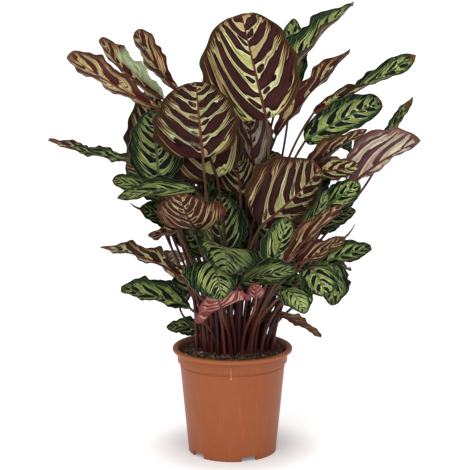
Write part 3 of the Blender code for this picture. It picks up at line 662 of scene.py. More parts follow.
class Tree:
    """Lays nodes in a shader tree, and links or sets their sockets."""

    def __init__(self, tree: bpy.types.NodeTree) -> None:
        """Work on this tree."""
        self.tree = tree

    def feed(self, socket: Socket, value: Value) -> None:
        """Link a socket to a signal, or set it to a value or to a colour given as in tint."""
        if isinstance(value, Signal):
            self.tree.links.new(value.socket, socket)
        elif socket.type == "RGBA":
            socket.default_value = (*tint(*value), 1.0)
        else:
            socket.default_value = value

    def node(self, kind: str, feeds: dict[str | int, Value] | None = None,
             **settings: object) -> bpy.types.Node:
        """A new node of a kind, with its settings and with what feeds its inputs."""
        made = self.tree.nodes.new("ShaderNode" + kind)
        for name, value in settings.items():
            setattr(made, name, value)
        for key, value in (feeds or {}).items():
            self.feed(made.inputs[key], value)
        return made

    def out(self, kind: str, feeds: dict[str | int, Value], output: str | int = 0,
            **settings: object) -> Signal:
        """One output of a new node."""
        return Signal(self, self.node(kind, feeds, **settings).outputs[output])

    def math(self, operation: str, *values: Value) -> Signal:
        """The result of a math node on up to three values."""
        return self.out("Math", dict(enumerate(values)), operation=operation)

    def painted(self, base: Value, *layers: tuple[Signal, Value]) -> Signal:
        """A colour with further ones laid over it, each with the share of its own mask."""
        for share, colour in layers:
            base = self.out("Mix", {"Factor": share, 6: base, 7: colour}, 2, data_type="RGBA")
        return base

    def scaled(self, colour: Value, share: Signal) -> Signal:
        """A colour made brighter or darker."""
        return self.out("VectorMath", {0: colour, "Scale": share}, operation="SCALE")

    def combine(self, *values: Value) -> Signal:
        """A vector of three values."""
        return self.out("CombineXYZ", dict(enumerate(values)))

    def separate(self, vector: Signal, kind: str = "XYZ") -> list[Signal]:
        """The three values of a vector or colour."""
        return [Signal(self, part) for part in self.node("Separate" + kind, {0: vector}).outputs]

    def noise(self, vector: Signal, scale: Value, detail: float = 2.0,
              roughness: float = 0.5) -> Signal:
        """Soft noise about 0.5."""
        return self.out("TexNoise", {"Vector": vector, "Scale": scale, "Detail": detail,
                                     "Roughness": roughness}, "Fac")

    def chances(self, *values: Value) -> list[Signal]:
        """Three even chances of 0 to 1 that hang on three values alone."""
        return self.separate(self.out("TexWhiteNoise", {"Vector": self.combine(*values)}, "Color"),
                             "Color")

    def cells(self, place: Signal, scale: float) -> tuple[Signal, list[Signal]]:
        """Scattered points: how far the nearest one is, and its three chances."""
        made = self.node("TexVoronoi", {"Vector": place, "Scale": scale})
        middle = self.separate(Signal(self, made.outputs["Position"]))
        return Signal(self, made.outputs["Distance"]), self.chances(*middle)

    def place(self) -> Signal:
        """Where a point lies in its object."""
        return self.out("TexCoord", {}, "Object")

    def pattern_place(self) -> list[Signal]:
        """Where a point lies in its piece's pattern."""
        return self.separate(self.out("UVMap", {}, "UV", uv_map="place"))

    def attribute(self, name: str) -> list[Signal]:
        """The three values of a piece's own attribute."""
        return self.separate(self.out("Attribute", {}, "Vector", attribute_name=name))

    def group(self, effect: bpy.types.NodeTree, **values: Value) -> dict[str, Signal]:
        """A shared effect placed in this tree, with its values, as its outputs by name."""
        feeds = {name.capitalize(): value for name, value in values.items()}
        made = self.node("Group", feeds, node_tree=effect)
        return {output.name: Signal(self, output) for output in made.outputs}

    @staticmethod
    def effect(name: str, inputs: dict[str, float | Triple]) -> tuple["Tree", list[Signal]]:
        """An empty shader group.

        Args:
            name: Name of the group.
            inputs: Default value of each input, a number or a vector, by name.

        Returns:
            The group's tree, and its inputs in order.
        """
        made = bpy.data.node_groups.new(name, "ShaderNodeTree")
        for label, default in inputs.items():
            kind = "NodeSocketFloat" if isinstance(default, float) else "NodeSocketVector"
            socket = made.interface.new_socket(label, in_out="INPUT", socket_type=kind)
            socket.default_value = default
        tree = Tree(made)
        coming = made.nodes.new("NodeGroupInput").outputs
        return tree, [Signal(tree, coming[label]) for label in inputs]

    def give(self, **results: Signal) -> bpy.types.NodeTree:
        """The group with these results as its outputs, all of them floats."""
        for label in results:
            self.tree.interface.new_socket(label, in_out="OUTPUT", socket_type="NodeSocketFloat")
        going = self.tree.nodes.new("NodeGroupOutput").inputs
        for label, value in results.items():
            self.feed(going[label], value)
        return self.tree


def grain_effect() -> bpy.types.NodeTree:
    """Cloudy tone and fine height that leaf, stalk, plastic and soil share.

    Tone is the mean of a coarse and a fine noise, and Height is a still finer one.
    """
    tree, (vector, scale, fineness) = Tree.effect(
        "natural_grain", {"Vector": (0.0, 0.0, 0.0), "Scale": 40.0, "Fineness": 6.0})
    coarse = tree.noise(vector, scale, 3.0)
    finer = scale * fineness
    fine = tree.noise(vector, finer, 2.0, 0.6)
    return tree.give(Tone=(coarse + fine) * 0.5, Height=tree.noise(vector, finer * 2.5, 1.0))


@dataclass(frozen=True)
class Markings:
    """The peacock markings as masks over a blade.

    A lateral vein leaves the midrib at s = along - lead, where lead grows with the distance from
    the midrib to the power VEIN_SWEEP, and faster near the apex. The phase follows s, in tighter
    turns towards the apex, and is half a turn out of step between the blade's two halves. A dark
    lens lies about each half phase: a narrow neck at the midrib, then wide, then a point short of
    the margin. The pale tongues between the lenses split into strands, each of which narrows to
    an end of its own. Some tongues hold a short dark oval near the midrib.

    Lengths across a blade are shares of its half width, and lengths along it are parts of a turn
    from one lens to the next. Each pair is the least and the most.

    Args:
        wander: How far veins stray forward or back.
        fray: How far fine streaks push outlines about.
        lens_breadth: Half of a lens's breadth.
        lens_end: Where a lens ends, where the finish doesn't end it sooner.
        neck: Breadth of a lens at the midrib against its full breadth.
        plain_share: Share of the tongues without an oval.
        oval_middle: How far from the midrib an oval's middle lies.
        oval_length: Half of its length across the blade.
        oval_breadth: Half of its breadth along the blade.
        strand_narrows: Where strands begin to narrow.
        strand_end: Where they end.
        hairline: How far strands stand apart.
    """
    wander: float = 0.5
    fray: float = 0.12
    lens_breadth: Pair = (0.31, 0.41)
    lens_end: Pair = (0.92, 1.1)
    neck: Pair = (0.3, 0.85)
    plain_share: float = 0.42
    oval_middle: Pair = (0.09, 0.17)
    oval_length: Pair = (0.06, 0.12)
    oval_breadth: Pair = (0.11, 0.17)
    strand_narrows: Pair = (0.35, 0.75)
    strand_end: Pair = (0.86, 1.1)
    hairline: Pair = (0.03, 0.2)

    def effect(self) -> bpy.types.NodeTree:
        """The markings as a shader group."""
        tree, given = Tree.effect("peacock_markings", {
            "Along": 0.5, "Across": 0.5, "Reach": 10.0, "Count": 6.0, "Left": 0.01, "Right": 0.01,
            "Seed": 0.0, "Fullness": 1.0, "Strands": 7.0, "Length": 1.0})
        along, across, reach, count, left, right, seed, fullness, strand_count, length = given
        x = abs(across * 2.0 - 1.0)
        half = across > 0.5
        run = left * (1.0 - half) + right * half
        start = along - reach ** VEIN_SWEEP * run * (along * 0.8 + 0.6)
        side = half * 3.1
        wander = tree.noise(tree.combine(start * 3.0, x * 1.1 + side, seed), 1.6, 2.0)
        phase = (start * (start * 0.3 + 0.85) * count
                 + (half * 0.5 + wander.span(-self.wander, self.wander)))
        streak = tree.noise(tree.combine(phase * 8.0, x * 2.0, seed), 1.0, 2.0, 0.6)
        frayed = streak.span(-self.fray, self.fray)

        tongue = (phase + 0.5).floor()
        off = abs(phase - tongue)
        there, middle, size = tree.chances(tongue, side + 7.7, seed)
        out_of_middle = (x - middle.span(*self.oval_middle)) / size.span(*self.oval_length)
        out_of_line = off / size.span(*self.oval_breadth)
        oval = (out_of_middle * out_of_middle + out_of_line * out_of_line).root()
        has_oval = there > self.plain_share

        breadth, end, neck = tree.chances(phase.floor(), side + 3.3, seed)
        end = length * (end.span(*self.lens_end) + frayed)
        neck = neck.span(*self.neck)
        swell = neck + x.step(0.0, 0.34) * (1.0 - neck)
        breadth = breadth.span(*self.lens_breadth) / fullness * (swell * x.step(end, end - 0.55))
        depth = breadth + frayed * 0.22 - (0.5 - off)
        lens = depth.step(-0.014, 0.014).most(oval.step(1.12, 0.88) * has_oval)

        strand = phase * strand_count + frayed * 1.6
        from_middle = abs(strand.fract() - 0.5)
        parting, ending, _ = tree.chances(strand.floor(), side + 5.1, seed)
        narrowing = x.step(parting.span(*self.strand_narrows),
                           length * ending.span(*self.strand_end))
        hair = x.step(0.03, 0.3) * parting.span(*self.hairline)
        strands = (narrowing * -0.55 + 0.52 - hair - from_middle).step(-0.07, 0.05)
        thread = from_middle.step(0.3, 0.1) * (ending > 0.35)
        clouds = tree.noise(tree.combine(along * 1.6, x * 0.8 + side, seed + 31.0), 1.5, 1.0)
        swollen, furrow = ((turns * (2 * math.pi)).cosine() for turns in (phase, strand))
        return tree.give(
            Pale=strands * (1.0 - lens),
            Rim=depth.step(-0.12, -0.02).most(oval.step(1.7, 1.15) * has_oval),
            Lens=lens,
            Core=depth.step(0.03, 0.13).most(oval.step(0.8, 0.3) * has_oval),
            Thread=thread * x.step(0.4, 0.8),
            Outer=x.step(0.5, 1.0).most(along.step(0.85, 1.0)),
            Margin=(streak * 0.14 + x).step(0.92, 1.02),
            # The pale line along the very edge is a painted highlight on the rim
            Edge=x.step(0.955, 0.985),
            Midrib=(reach / along.span(1.7, 0.4)).step(1.35, 0.8),
            Streak=streak,
            # A tinge here and there: partly the leaf's own pink, partly painted glow of light through it
            Blush=clouds.step(0.5, 0.7),
            Height=x.step(0.0, 0.12) * (swollen * 1.4 + furrow))


@dataclass(frozen=True)
class Effects:
    """The shader groups that the finishes share."""
    grain: bpy.types.NodeTree
    markings: bpy.types.NodeTree


@dataclass(frozen=True)
class Finish:
    """What all finishes share. Their colours are given as in tint.

    Args:
        name: Name of the material.
        roughness: Mean roughness.
        swing: How much rougher the grain's lightest parts are than its darkest.
        specular: Strength of the mirror reflection.
        relief: Height of the bumps in millimetres.
        bump: Their strength, from 0 to 1.
    """
    name: str
    _: KW_ONLY
    roughness: float = 0.5
    swing: float = 0.2
    specular: float = 0.5
    relief: float = 0.4
    bump: float = 0.6

    def coat(self, tree: Tree, effects: Effects) -> tuple[Signal, Signal, Signal]:
        """The finish's colour, the tone of its grain and its height."""
        raise NotImplementedError

    def material(self, effects: Effects) -> bpy.types.Material:
        """The finish as a material."""
        made = bpy.data.materials.new(self.name)
        made.use_nodes = True
        tree = Tree(made.node_tree)
        colour, tone, height = self.coat(tree, effects)
        normal = tree.out("Bump", {"Strength": self.bump, "Distance": self.relief * MM,
                                   "Height": height}, "Normal")
        shader = made.node_tree.nodes["Principled BSDF"]
        tree.feed(shader.inputs["Base Color"], colour)
        tree.feed(shader.inputs["Roughness"], tone * self.swing + (self.roughness - self.swing / 2))
        tree.feed(shader.inputs["Specular IOR Level"], self.specular)
        tree.feed(shader.inputs["Normal"], normal)
        return made


@dataclass(frozen=True)
class BladeFinish(Finish):
    """One face of a blade: dark lenses and pale tongues along the lateral veins.

    Args:
        lens: The middle of the dark lenses and ovals.
        rind: Their outline.
        pale: The tongues near the midrib.
        rim: Their outline against the lenses.
        tongue_end: Their outer ends.
        blush_and_glow: What tinges them here and there: their own pink, and painted glow of light
            through them.
        outer: What lies between their strands and beyond the lenses.
        thread: Fine threads along the veins there.
        margin: The band along the edge.
        edge: The very edge, a pale line that is a painted highlight along the rim.
        rib: Along the midrib.
        dry: The dried tip.
        length: Where the lenses end, as a share of the half width.
        fold: What the margins show where they are folded over, if they are.
    """
    lens: Triple
    rind: Triple
    pale: Triple
    rim: Triple
    tongue_end: Triple
    blush_and_glow: Triple
    outer: Triple
    thread: Triple
    margin: Triple
    edge: Triple
    rib: Triple
    dry: Triple = (104, 72, 46)
    length: float = 1.0
    fold: Triple | None = None
    _: KW_ONLY
    specular: float = 0.05

    def coat(self, tree: Tree, effects: Effects) -> tuple[Signal, Signal, Signal]:
        """Colour, tone and height by the blade's places, reach, habit, runs and look."""
        along, across, _ = tree.pattern_place()
        count, seed, fullness = tree.attribute("habit")
        left, right, _ = tree.attribute("runs")
        tone, dryness, strands = tree.attribute("look")
        reach = tree.out("Attribute", {}, "Fac", attribute_name="reach")
        marks = tree.group(effects.markings, along=along, across=across, count=count, left=left,
                           right=right, seed=seed, fullness=fullness, strands=strands,
                           length=self.length, reach=reach)
        grain = tree.group(effects.grain, vector=tree.place(), scale=38.0, fineness=9.0)
        # Tongues tinged here and there, partly painted glow of light shining through the blade
        pale = tree.painted(self.pale, (marks["Rim"] * 0.85, self.rim),
                            (marks["Outer"], self.tongue_end), (marks["Blush"] * 0.5, self.blush_and_glow))
        lens = tree.painted(self.rind, (marks["Core"], self.lens))
        colour = tree.painted(self.outer, (marks["Thread"] * 0.8, self.thread),
                              (marks["Pale"], pale), (marks["Lens"], lens),
                              # A painted highlight along the rim
                              (marks["Margin"], self.margin), (marks["Edge"] * 0.7, self.edge))
        if self.fold:
            far = abs(across * 2.0 - 1.0) + marks["Streak"].span(-0.12, 0.12)
            folded = far.step(0.3, 0.36) * along.step(0.8, 0.66)
            shown = tree.scaled(tint(*self.fold), marks["Pale"].span(0.6, 1.05))
            colour = tree.painted(colour, (folded, shown))
        from_tip = (1.0 - along) * 5.0 + marks["Streak"].span(-0.35, 0.35)
        dried = from_tip.step(dryness, dryness * 0.6)
        colour = tree.painted(colour, (marks["Midrib"], self.rib), (dried, self.dry))
        streaky = marks["Streak"].span(0.2, 1.8) * grain["Tone"].span(0.6, 1.4)
        # The leaf's tone scales its whole colour: partly its own brightness, partly painted shade
        return (tree.scaled(colour, tone.span(0.35, 1.35) * streaky), grain["Tone"],
                grain["Height"] * 0.35 + marks["Height"])


@dataclass(frozen=True)
class StalkFinish(Finish):
    """The stalks: deep red at the foot, browner above, streaked lengthwise, rusty as midribs."""
    name: str = "stalk"
    foot: Triple = (78, 34, 30)
    head: Triple = (92, 60, 42)
    olive: Triple = (84, 78, 46)
    rib: Triple = (104, 48, 32)
    streak: Triple = (30, 14, 12)
    _: KW_ONLY
    roughness: float = 0.38
    specular: float = 0.2
    relief: float = 0.2
    bump: float = 0.4

    def coat(self, tree: Tree, effects: Effects) -> tuple[Signal, Signal, Signal]:
        """Colour, tone and height by the tube's places and the leaf's habit and look."""
        round_it, rise, _ = tree.pattern_place()
        _, seed, _ = tree.attribute("habit")
        tone, _, _ = tree.attribute("look")
        lengthwise = tree.combine(round_it * 6.0, rise * 2.5, seed)
        grain = tree.group(effects.grain, vector=lengthwise, scale=1.6, fineness=4.0)
        greener, lighter, _ = tree.chances(seed, 1.0, 2.0)
        green_share = greener.step(0.62, 0.9) * rise.step(0.1, 0.7) * 0.75
        colour = tree.painted(self.foot, (rise.step(0.3, 0.95), self.head),
                              (green_share, self.olive), (rise.step(0.98, 1.06), self.rib),
                              (grain["Tone"].step(0.52, 0.68), self.streak))
        # The stalk is darkened with its leaf's tone, which is partly painted shade
        bright = grain["Tone"].span(0.5, 1.5) * (tone.span(0.7, 1.2) * lighter.span(0.25, 1.6))
        return tree.scaled(colour, bright), grain["Tone"], grain["Height"]


@dataclass(frozen=True)
class PlasticFinish(Finish):
    """The pot's terracotta-coloured plastic, cloudy, scuffed, darker at its foot, and painted paler
    on its lip as a painted highlight.
    """
    name: str = "pot_plastic"
    body: Triple = (152, 82, 44)
    deep: Triple = (136, 70, 37)
    # The lip's paler colour is painted light: the light that the lip catches
    lip: Triple = (156, 87, 47)
    scuff: Triple = (172, 106, 64)
    dark_brown: Triple = (70, 44, 32)
    _: KW_ONLY
    roughness: float = 0.46
    specular: float = 0.25
    relief: float = 0.15
    bump: float = 0.25

    def coat(self, tree: Tree, effects: Effects) -> tuple[Signal, Signal, Signal]:
        """Colour, tone and height by Object coordinates."""
        x, y, level = tree.separate(tree.place())
        grain = tree.group(effects.grain, vector=tree.place(), scale=22.0, fineness=9.0)
        streaks = tree.noise(tree.combine(x * 3.0, y * 3.0, level * 0.35), 90.0, 3.0, 0.65)
        distance, (chosen, _, _) = tree.cells(tree.place(), 55.0)
        spot = distance.step(0.06, 0.03) * (chosen > 0.9)
        # Darker at the foot: the lowest 6 mm are mixed with dark brown in cloudy patches
        darker_foot = level.step(0.006, 0.0) * grain["Tone"].step(0.42, 0.6)
        colour = tree.painted(self.deep, (grain["Tone"], self.body),
                              (streaks.step(0.52, 0.75) * 0.25, self.scuff),
                              # Painted light: the lip band is paler
                              (level.step(0.1185, 0.1235), self.lip), (spot * 0.7, self.dark_brown),
                              (darker_foot * 0.35, self.dark_brown))
        return colour, grain["Tone"], grain["Height"]


@dataclass(frozen=True)
class SoilFinish(Finish):
    """Moist peat: near black with brown and tan flecks."""
    name: str = "potting_soil"
    dark: Triple = (30, 22, 18)
    brown: Triple = (74, 52, 38)
    fleck: Triple = (126, 96, 70)
    fleck_share: float = 0.08
    _: KW_ONLY
    roughness: float = 0.9
    swing: float = 0.1
    relief: float = 1.2
    bump: float = 0.8

    def coat(self, tree: Tree, effects: Effects) -> tuple[Signal, Signal, Signal]:
        """Colour, tone and height by Object coordinates."""
        grain = tree.group(effects.grain, vector=tree.place(), scale=160.0, fineness=4.0)
        _, (chosen, shade, _) = tree.cells(tree.place(), 420.0)
        colour = tree.painted(self.dark, (grain["Tone"].step(0.4, 0.62), self.brown),
                              (chosen > 1.0 - self.fleck_share, self.fleck))
        return tree.scaled(colour, shade.span(0.6, 1.3)), grain["Tone"], grain["Tone"]


# What the blades' two faces wear, by dress: the green face, then the underside. The colours
# stand in the order of the finish's fields, from lens to rib
# Each finish's tenth colour, its edge, is paler than its margin: a painted highlight along the rim
RUSTY_UNDERSIDE = BladeFinish("blade_rusty", (80, 38, 35), (48, 22, 18), (188, 172, 116),
                              (216, 200, 154), (160, 118, 82), (166, 106, 78), (82, 44, 34),
                              (136, 88, 64), (76, 44, 32), (104, 72, 54), (112, 54, 42))
BLADE_FINISHES: dict[Dress, tuple[BladeFinish, BladeFinish]] = {
    Dress.GREEN: (
        BladeFinish("blade_green", (28, 34, 26), (12, 18, 10), (158, 174, 94), (204, 208, 156),
                    (80, 106, 58), (124, 150, 102), (18, 32, 20), (94, 120, 78), (18, 30, 18),
                    (116, 128, 100), (88, 112, 62), length=0.76, roughness=0.42),
        BladeFinish("blade_maroon", (62, 32, 29), (32, 16, 10), (182, 188, 116), (228, 220, 178),
                    (186, 154, 112), (176, 124, 96), (62, 34, 22), (130, 88, 60), (62, 44, 26),
                    (88, 70, 48), (100, 40, 28))),
    Dress.YOUNG: (
        BladeFinish("blade_young", (70, 52, 40), (50, 34, 28), (150, 150, 90), (170, 150, 110),
                    (140, 106, 80), (160, 110, 90), (110, 72, 58), (130, 96, 76), (104, 60, 54),
                    (130, 90, 80), (124, 66, 56)),
        BladeFinish("blade_pink", (136, 62, 66), (104, 42, 46), (196, 150, 130), (206, 168, 146),
                    (184, 124, 116), (176, 100, 100), (142, 76, 76), (170, 112, 104), (130, 68, 68),
                    (150, 96, 90), (116, 46, 50))),
    Dress.FADED: (
        BladeFinish("blade_grey_green", (40, 56, 44), (28, 38, 30), (158, 170, 110), (180, 188, 140),
                    (120, 136, 90), (140, 150, 110), (64, 80, 54), (104, 120, 80), (50, 60, 44),
                    (120, 124, 100), (110, 120, 80), length=0.84),
        BladeFinish("blade_faded", (92, 60, 66), (70, 42, 44), (188, 180, 152), (208, 202, 178),
                    (172, 144, 128), (174, 128, 120), (116, 78, 74), (160, 130, 116), (98, 68, 58),
                    (124, 96, 82), (138, 84, 76))),
    Dress.RUSTY: (
        BladeFinish("blade_olive", (34, 48, 32), (24, 30, 20), (150, 154, 88), (176, 172, 112),
                    (110, 112, 66), (130, 120, 76), (60, 68, 40), (96, 104, 62), (52, 48, 34),
                    (110, 104, 80), (100, 104, 62), length=0.84),
        RUSTY_UNDERSIDE),
    Dress.CURLED: (
        BladeFinish("blade_curled_above", (60, 80, 60), (44, 60, 44), (160, 184, 140), (184, 204, 168),
                    (130, 156, 120), (150, 176, 150), (84, 108, 84), (140, 164, 132), (90, 110, 84),
                    (130, 146, 116), (120, 144, 100)),
        replace(RUSTY_UNDERSIDE, name="blade_curled", lens=(84, 40, 34),
                fold=(182, 194, 150))),
    Dress.DRIED: (
        BladeFinish("blade_dried_above", (84, 62, 42), (66, 48, 32), (140, 110, 76), (156, 124, 88),
                    (120, 92, 64), (120, 88, 60), (104, 78, 54), (124, 96, 68), (92, 68, 48),
                    (110, 84, 60), (90, 60, 42), roughness=0.6, relief=0.5),
        BladeFinish("blade_dried", (96, 70, 54), (74, 52, 40), (150, 120, 92), (160, 130, 100),
                    (134, 106, 82), (130, 98, 76), (108, 80, 62), (130, 100, 78), (100, 76, 58),
                    (116, 90, 68), (96, 64, 50), roughness=0.6, relief=0.5)),
}


@dataclass(frozen=True)
class Fineness:
    """How finely a leaf is drawn: rows and columns of its blade, rings of its stalk and midrib."""
    rows: int = 57
    columns: int = 29
    stalk_rings: int = 34
    rib_rings: int = 26
    sides: int = 10


SMALL_FINENESS = Fineness(19, 13, 16, 9, 6)
CLASH_FINENESS = Fineness(7, 5, 7, 3, 6)


@dataclass
class Foliage:
    """All the leaves: a fine blade, stalk and midrib for each leaf's solid.

    Small shaded leaves, drawn less finely and painted near black as painted shade, stand between the
    stalks inside the clump. Each is drawn at random and kept only if it is clear of every solid and
    of those kept before it.

    Args:
        effects: The shared shader groups.
        leaves: The plans.
        small_leaves: How many small leaves stand inside at most.
        tries: How many are drawn to find them.
        small_length: Least and most of their blades' length, at size 1.
        small_width: The same of their width.
        small_depth: Front and back of where they stand, against how far the clump's left side is.
        small_spread: How far their blades lean to the sides and to the front and back.
        sizes: Size of the first one drawn and of the last.
        placed_size: Size of those that stand about FULL_PLACES.
        seed: Start of their chances.
    """
    effects: Effects
    leaves: tuple[Leaf, ...] = LEAVES
    small_leaves: int = 80
    tries: int = 7000
    small_length: Pair = (30.0, 62.0)
    small_width: Pair = (22.0, 36.0)
    small_depth: Pair = (0.15, -0.75)
    small_spread: Pair = (0.55, 0.35)
    sizes: Pair = (1.35, 0.75)
    placed_size: float = 0.7
    seed: int = 3
    stalk: bpy.types.Material = field(init=False)
    faces: dict[Dress, list[bpy.types.Material]] = field(init=False)

    def __post_init__(self) -> None:
        """Make the finishes."""
        self.stalk = StalkFinish().material(self.effects)
        self.faces = {dress: [finish.material(self.effects) for finish in pair]
                      for dress, pair in BLADE_FINISHES.items()}

    def build(self) -> list[bpy.types.Object]:
        """Make every leaf, in place of its node, and the small ones inside.

        Returns:
            The pieces.
        """
        pieces = []
        for number, (leaf, foot) in enumerate(zip(self.leaves, spread_feet(self.leaves))):
            piece = self.piece(Stem.found(leaf, foot), number, Fineness())
            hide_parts(leaf.name)
            pieces.append(piece)
        for number, stem in enumerate(self.clear_stems(), start=len(self.leaves)):
            # Painted shade: the small inner leaves get a tone of 0 to 0.15, which paints them near black
            stem.leaf = replace(stem.leaf, tone=0.05 * (number % 4))
            piece = self.piece(stem, number, SMALL_FINENESS)
            pieces.append(piece)
        LOG.info("foliage: %d leaves", len(pieces))
        return pieces

    def small_leaf(self, number: int, chance: np.random.Generator) -> tuple[Leaf, Array]:
        """One small leaf drawn at random inside the clump.

        The first ones stand about FULL_PLACES. The hearts of the others lie anywhere between the
        clump's sides, which stand wider apart the higher they are, and in its middle depth.

        Args:
            number: What its name ends in.
            chance: Where the chances come from.

        Returns:
            The plan, and where its stalk stands in the soil.
        """
        level = chance.uniform(*CLUMP_LEVELS)
        left, right = clump_sides(level)
        x, y = chance.uniform(left, right), chance.uniform(*(left * s for s in self.small_depth))
        heart = np.array([x, y, level])
        leaning = [chance.normal(0, spread) for spread in self.small_spread]
        way = unit(np.array([*leaning, chance.uniform(0.2, 1)]))
        size = self.sizes[0] - (self.sizes[0] - self.sizes[1]) * number / self.tries
        length = chance.uniform(*self.small_length)
        if number < TRIES_A_PLACE * len(FULL_PLACES):
            size = self.placed_size
            x, level = FULL_PLACES[number // TRIES_A_PLACE] + chance.normal(0, 4, 2)
            heart = np.array([x, chance.uniform(-25, 45), level]) - 0.5 * size * length * way
        apex = heart + size * length * way
        green = (chance.normal(0, 0.3), chance.choice((-1.0, 1.0), p=(0.75, 0.25)), 0.5)
        width = size * chance.uniform(*self.small_width)
        leaf = Leaf(f"leaf_small_{number}", tuple(heart), tuple(apex), width, green, bow=3.0,
                    cup=chance.uniform(20, 45), wave=1.5, count=3.4, dryness=0.1)
        foot = heart[:2] * FOOT_REACH + chance.uniform(-9, 9, 2)
        return leaf, foot * min(1.0, FOOT_CIRCLE / np.linalg.norm(foot))

    def clear_stems(self) -> list[Stem]:
        """Small leaves that cross neither a solid nor each other, and stay inside the clump."""
        chance = np.random.default_rng(self.seed)
        taken = [search_tree(*solid_of(node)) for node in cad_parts.values()
                 if node.name != "soil"]
        kept = []
        for number in range(self.tries):
            stem = Stem(*self.small_leaf(number, chance))
            left, right = clump_sides(stem.apex[2])
            random_place = number >= TRIES_A_PLACE * len(FULL_PLACES)
            inside = left < stem.apex[0] < right and stem.apex[2] < CLUMP_LEVELS[1]
            if random_place and not inside:
                continue
            body = Body.joined([self.blade_body(stem, CLASH_FINENESS),
                                self.stalk_body(stem, CLASH_FINENESS)])
            above = body.points[:, 2] > SOIL_LEVEL + 3.0
            quads = body.quads[above[body.quads].all(axis=1)]
            box, tree = search_tree(body.points, quads)
            if any(boxes_meet(box, other) and tree.overlap(search) for other, search in taken):
                continue
            taken.append((box, tree))
            kept.append(stem)
            if len(kept) == self.small_leaves:
                break
        LOG.info("small leaves: %d of %d drawn", len(kept), number + 1)
        return kept

    def piece(self, stem: Stem, number: int, fineness: Fineness) -> bpy.types.Object:
        """A leaf as a piece of the plant.

        Args:
            stem: The leaf as it grew.
            number: What sets its markings apart from the others'.
            fineness: How finely it is drawn.

        Returns:
            The piece.
        """
        leaf = stem.leaf
        bodies = [self.blade_body(stem, fineness), self.stalk_body(stem, fineness)]
        if leaf.tail:
            bodies.append(self.tail_body(stem))
        body = Body.joined(bodies)
        length = float(np.linalg.norm(stem.apex - stem.heart))
        run = min(leaf.run * leaf.width / length, RUN_MOST) / (leaf.width / 2) ** VEIN_SWEEP
        strands = np.clip(length / leaf.count / STRAND_WIDTH, STRANDS_LEAST, STRANDS_MOST)
        marks = {"habit": (leaf.count, 3.7 * number, leaf.fullness),
                 "runs": (run * (1 - leaf.skew), run * (1 + leaf.skew), 0.0),
                 "look": (leaf.tone, leaf.dryness, strands)}
        marks = {mark: np.tile(values, (len(body.points), 1)) for mark, values in marks.items()}
        piece = body.piece(leaf.name.replace("leaf_", "blade_and_stalk_"),
                           [*self.faces[leaf.dress], self.stalk], marks)
        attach(piece, "root")
        return piece

    def blade_body(self, stem: Stem, fineness: Fineness) -> Body:
        """The blade as one closed loft: its green face from side to side, then its underside."""
        even = np.linspace(0, 1, fineness.rows)
        stations = 0.6 * even + 0.4 * (1 - np.cos(np.pi * even)) / 2
        spread = np.linspace(-1, 1, fineness.columns)
        columns = np.sin(spread * np.pi / 2 * 0.8) / math.sin(0.4 * np.pi)
        top, under, reach = stem.blade(stations, columns, BLADE_THICKNESS, RUFFLE)
        rings = np.concatenate([top, under[:, ::-1]], axis=1)
        across = np.concatenate([columns, columns[::-1], columns[:1]]) / 2 + 0.5
        places = np.stack(np.broadcast_arrays(stations[:, None], across[None, :]), axis=-1)
        slots = np.ones(2 * fineness.columns, int)
        slots[:fineness.columns - 1] = 0
        return Body.loft(rings, places, slots, np.concatenate([reach, reach[:, ::-1]], axis=1))

    def stalk_body(self, stem: Stem, fineness: Fineness) -> Body:
        """The stalk from its hole in the soil, a little swollen where it meets the blade.

        It goes on under the blade as the midrib, whose radius shrinks towards the apex.
        """
        u = np.linspace(0, 1, fineness.stalk_rings)
        path, ways = stem.stalk_path(u)
        radii = STALK_FOOT_RADIUS + (STALK_TOP_RADIUS - STALK_FOOT_RADIUS) * u
        foot_rise, foot_end = FOOT_SWELLING
        joint_rise, joint_place, joint_reach = JOINT_SWELLING
        radii = radii + foot_rise * (1 - smooth(u, 0.0, foot_end))
        radii = radii + joint_rise * np.exp(-((u - joint_place) / joint_reach) ** 2)
        t = np.linspace(0.02, 0.985, fineness.rib_rings)
        line, along, normal, side = stem.midrib(t[:, None])
        rib_radii = RIB_START * (1 - t) ** RIB_TAPER + RIB_END
        rib = line - normal * (rib_radii - RIB_SINK)[:, None]
        sink = smooth(u, 0.9, 1.0)[:, None]
        path = path - sink * normal[0] * (rib_radii[0] - RIB_SINK)
        below = stem.foot + (0, 0, 0.5 - HOLE_DEPTH)
        path = np.vstack([below, path, rib])
        ways = np.vstack([(0, 0, 1), (0, 0, 1), ways[1:], along])
        radii = np.concatenate([[STALK_FOOT_RADIUS], radii, rib_radii])
        rise = np.concatenate([[-0.1], u, 1.02 + t])
        return tube(path, ways, side[0], radii, fineness.sides, 2, rise)

    def tail_body(self, stem: Stem) -> Body:
        """The dried thread past the apex, which curls a little towards the green face."""
        _, along, normal, side = stem.midrib(np.array([[1.0]]))
        angle = np.linspace(0, TAIL_CURL, TAIL_RINGS)[:, None]
        radius = stem.leaf.tail / TAIL_CURL
        path = stem.apex - TAIL_OVERLAP * along + radius * (
            np.sin(angle) * along + (1 - np.cos(angle)) * normal)
        ways = unit(np.cos(angle) * along + np.sin(angle) * normal)
        share = angle[:, 0] / TAIL_CURL
        radii = (stem.leaf.tip / 2 + 0.4) * (1 - share) + TAIL_RADIUS
        body = tube(path, ways, side[0], radii, Fineness().sides, 1, np.ones(TAIL_RINGS), TAIL_FLATNESS)
        return Body(body.points, body.quads, body.places[..., ::-1], body.slots, body.reach + 9.0)


def clump_sides(level: float) -> Pair:
    """How far the clump of stalks reaches at a height: x at its left and at its right."""
    return -42 - 0.34 * (level - CLUMP_LEVELS[0]), 68 + 0.24 * (level - CLUMP_LEVELS[0])


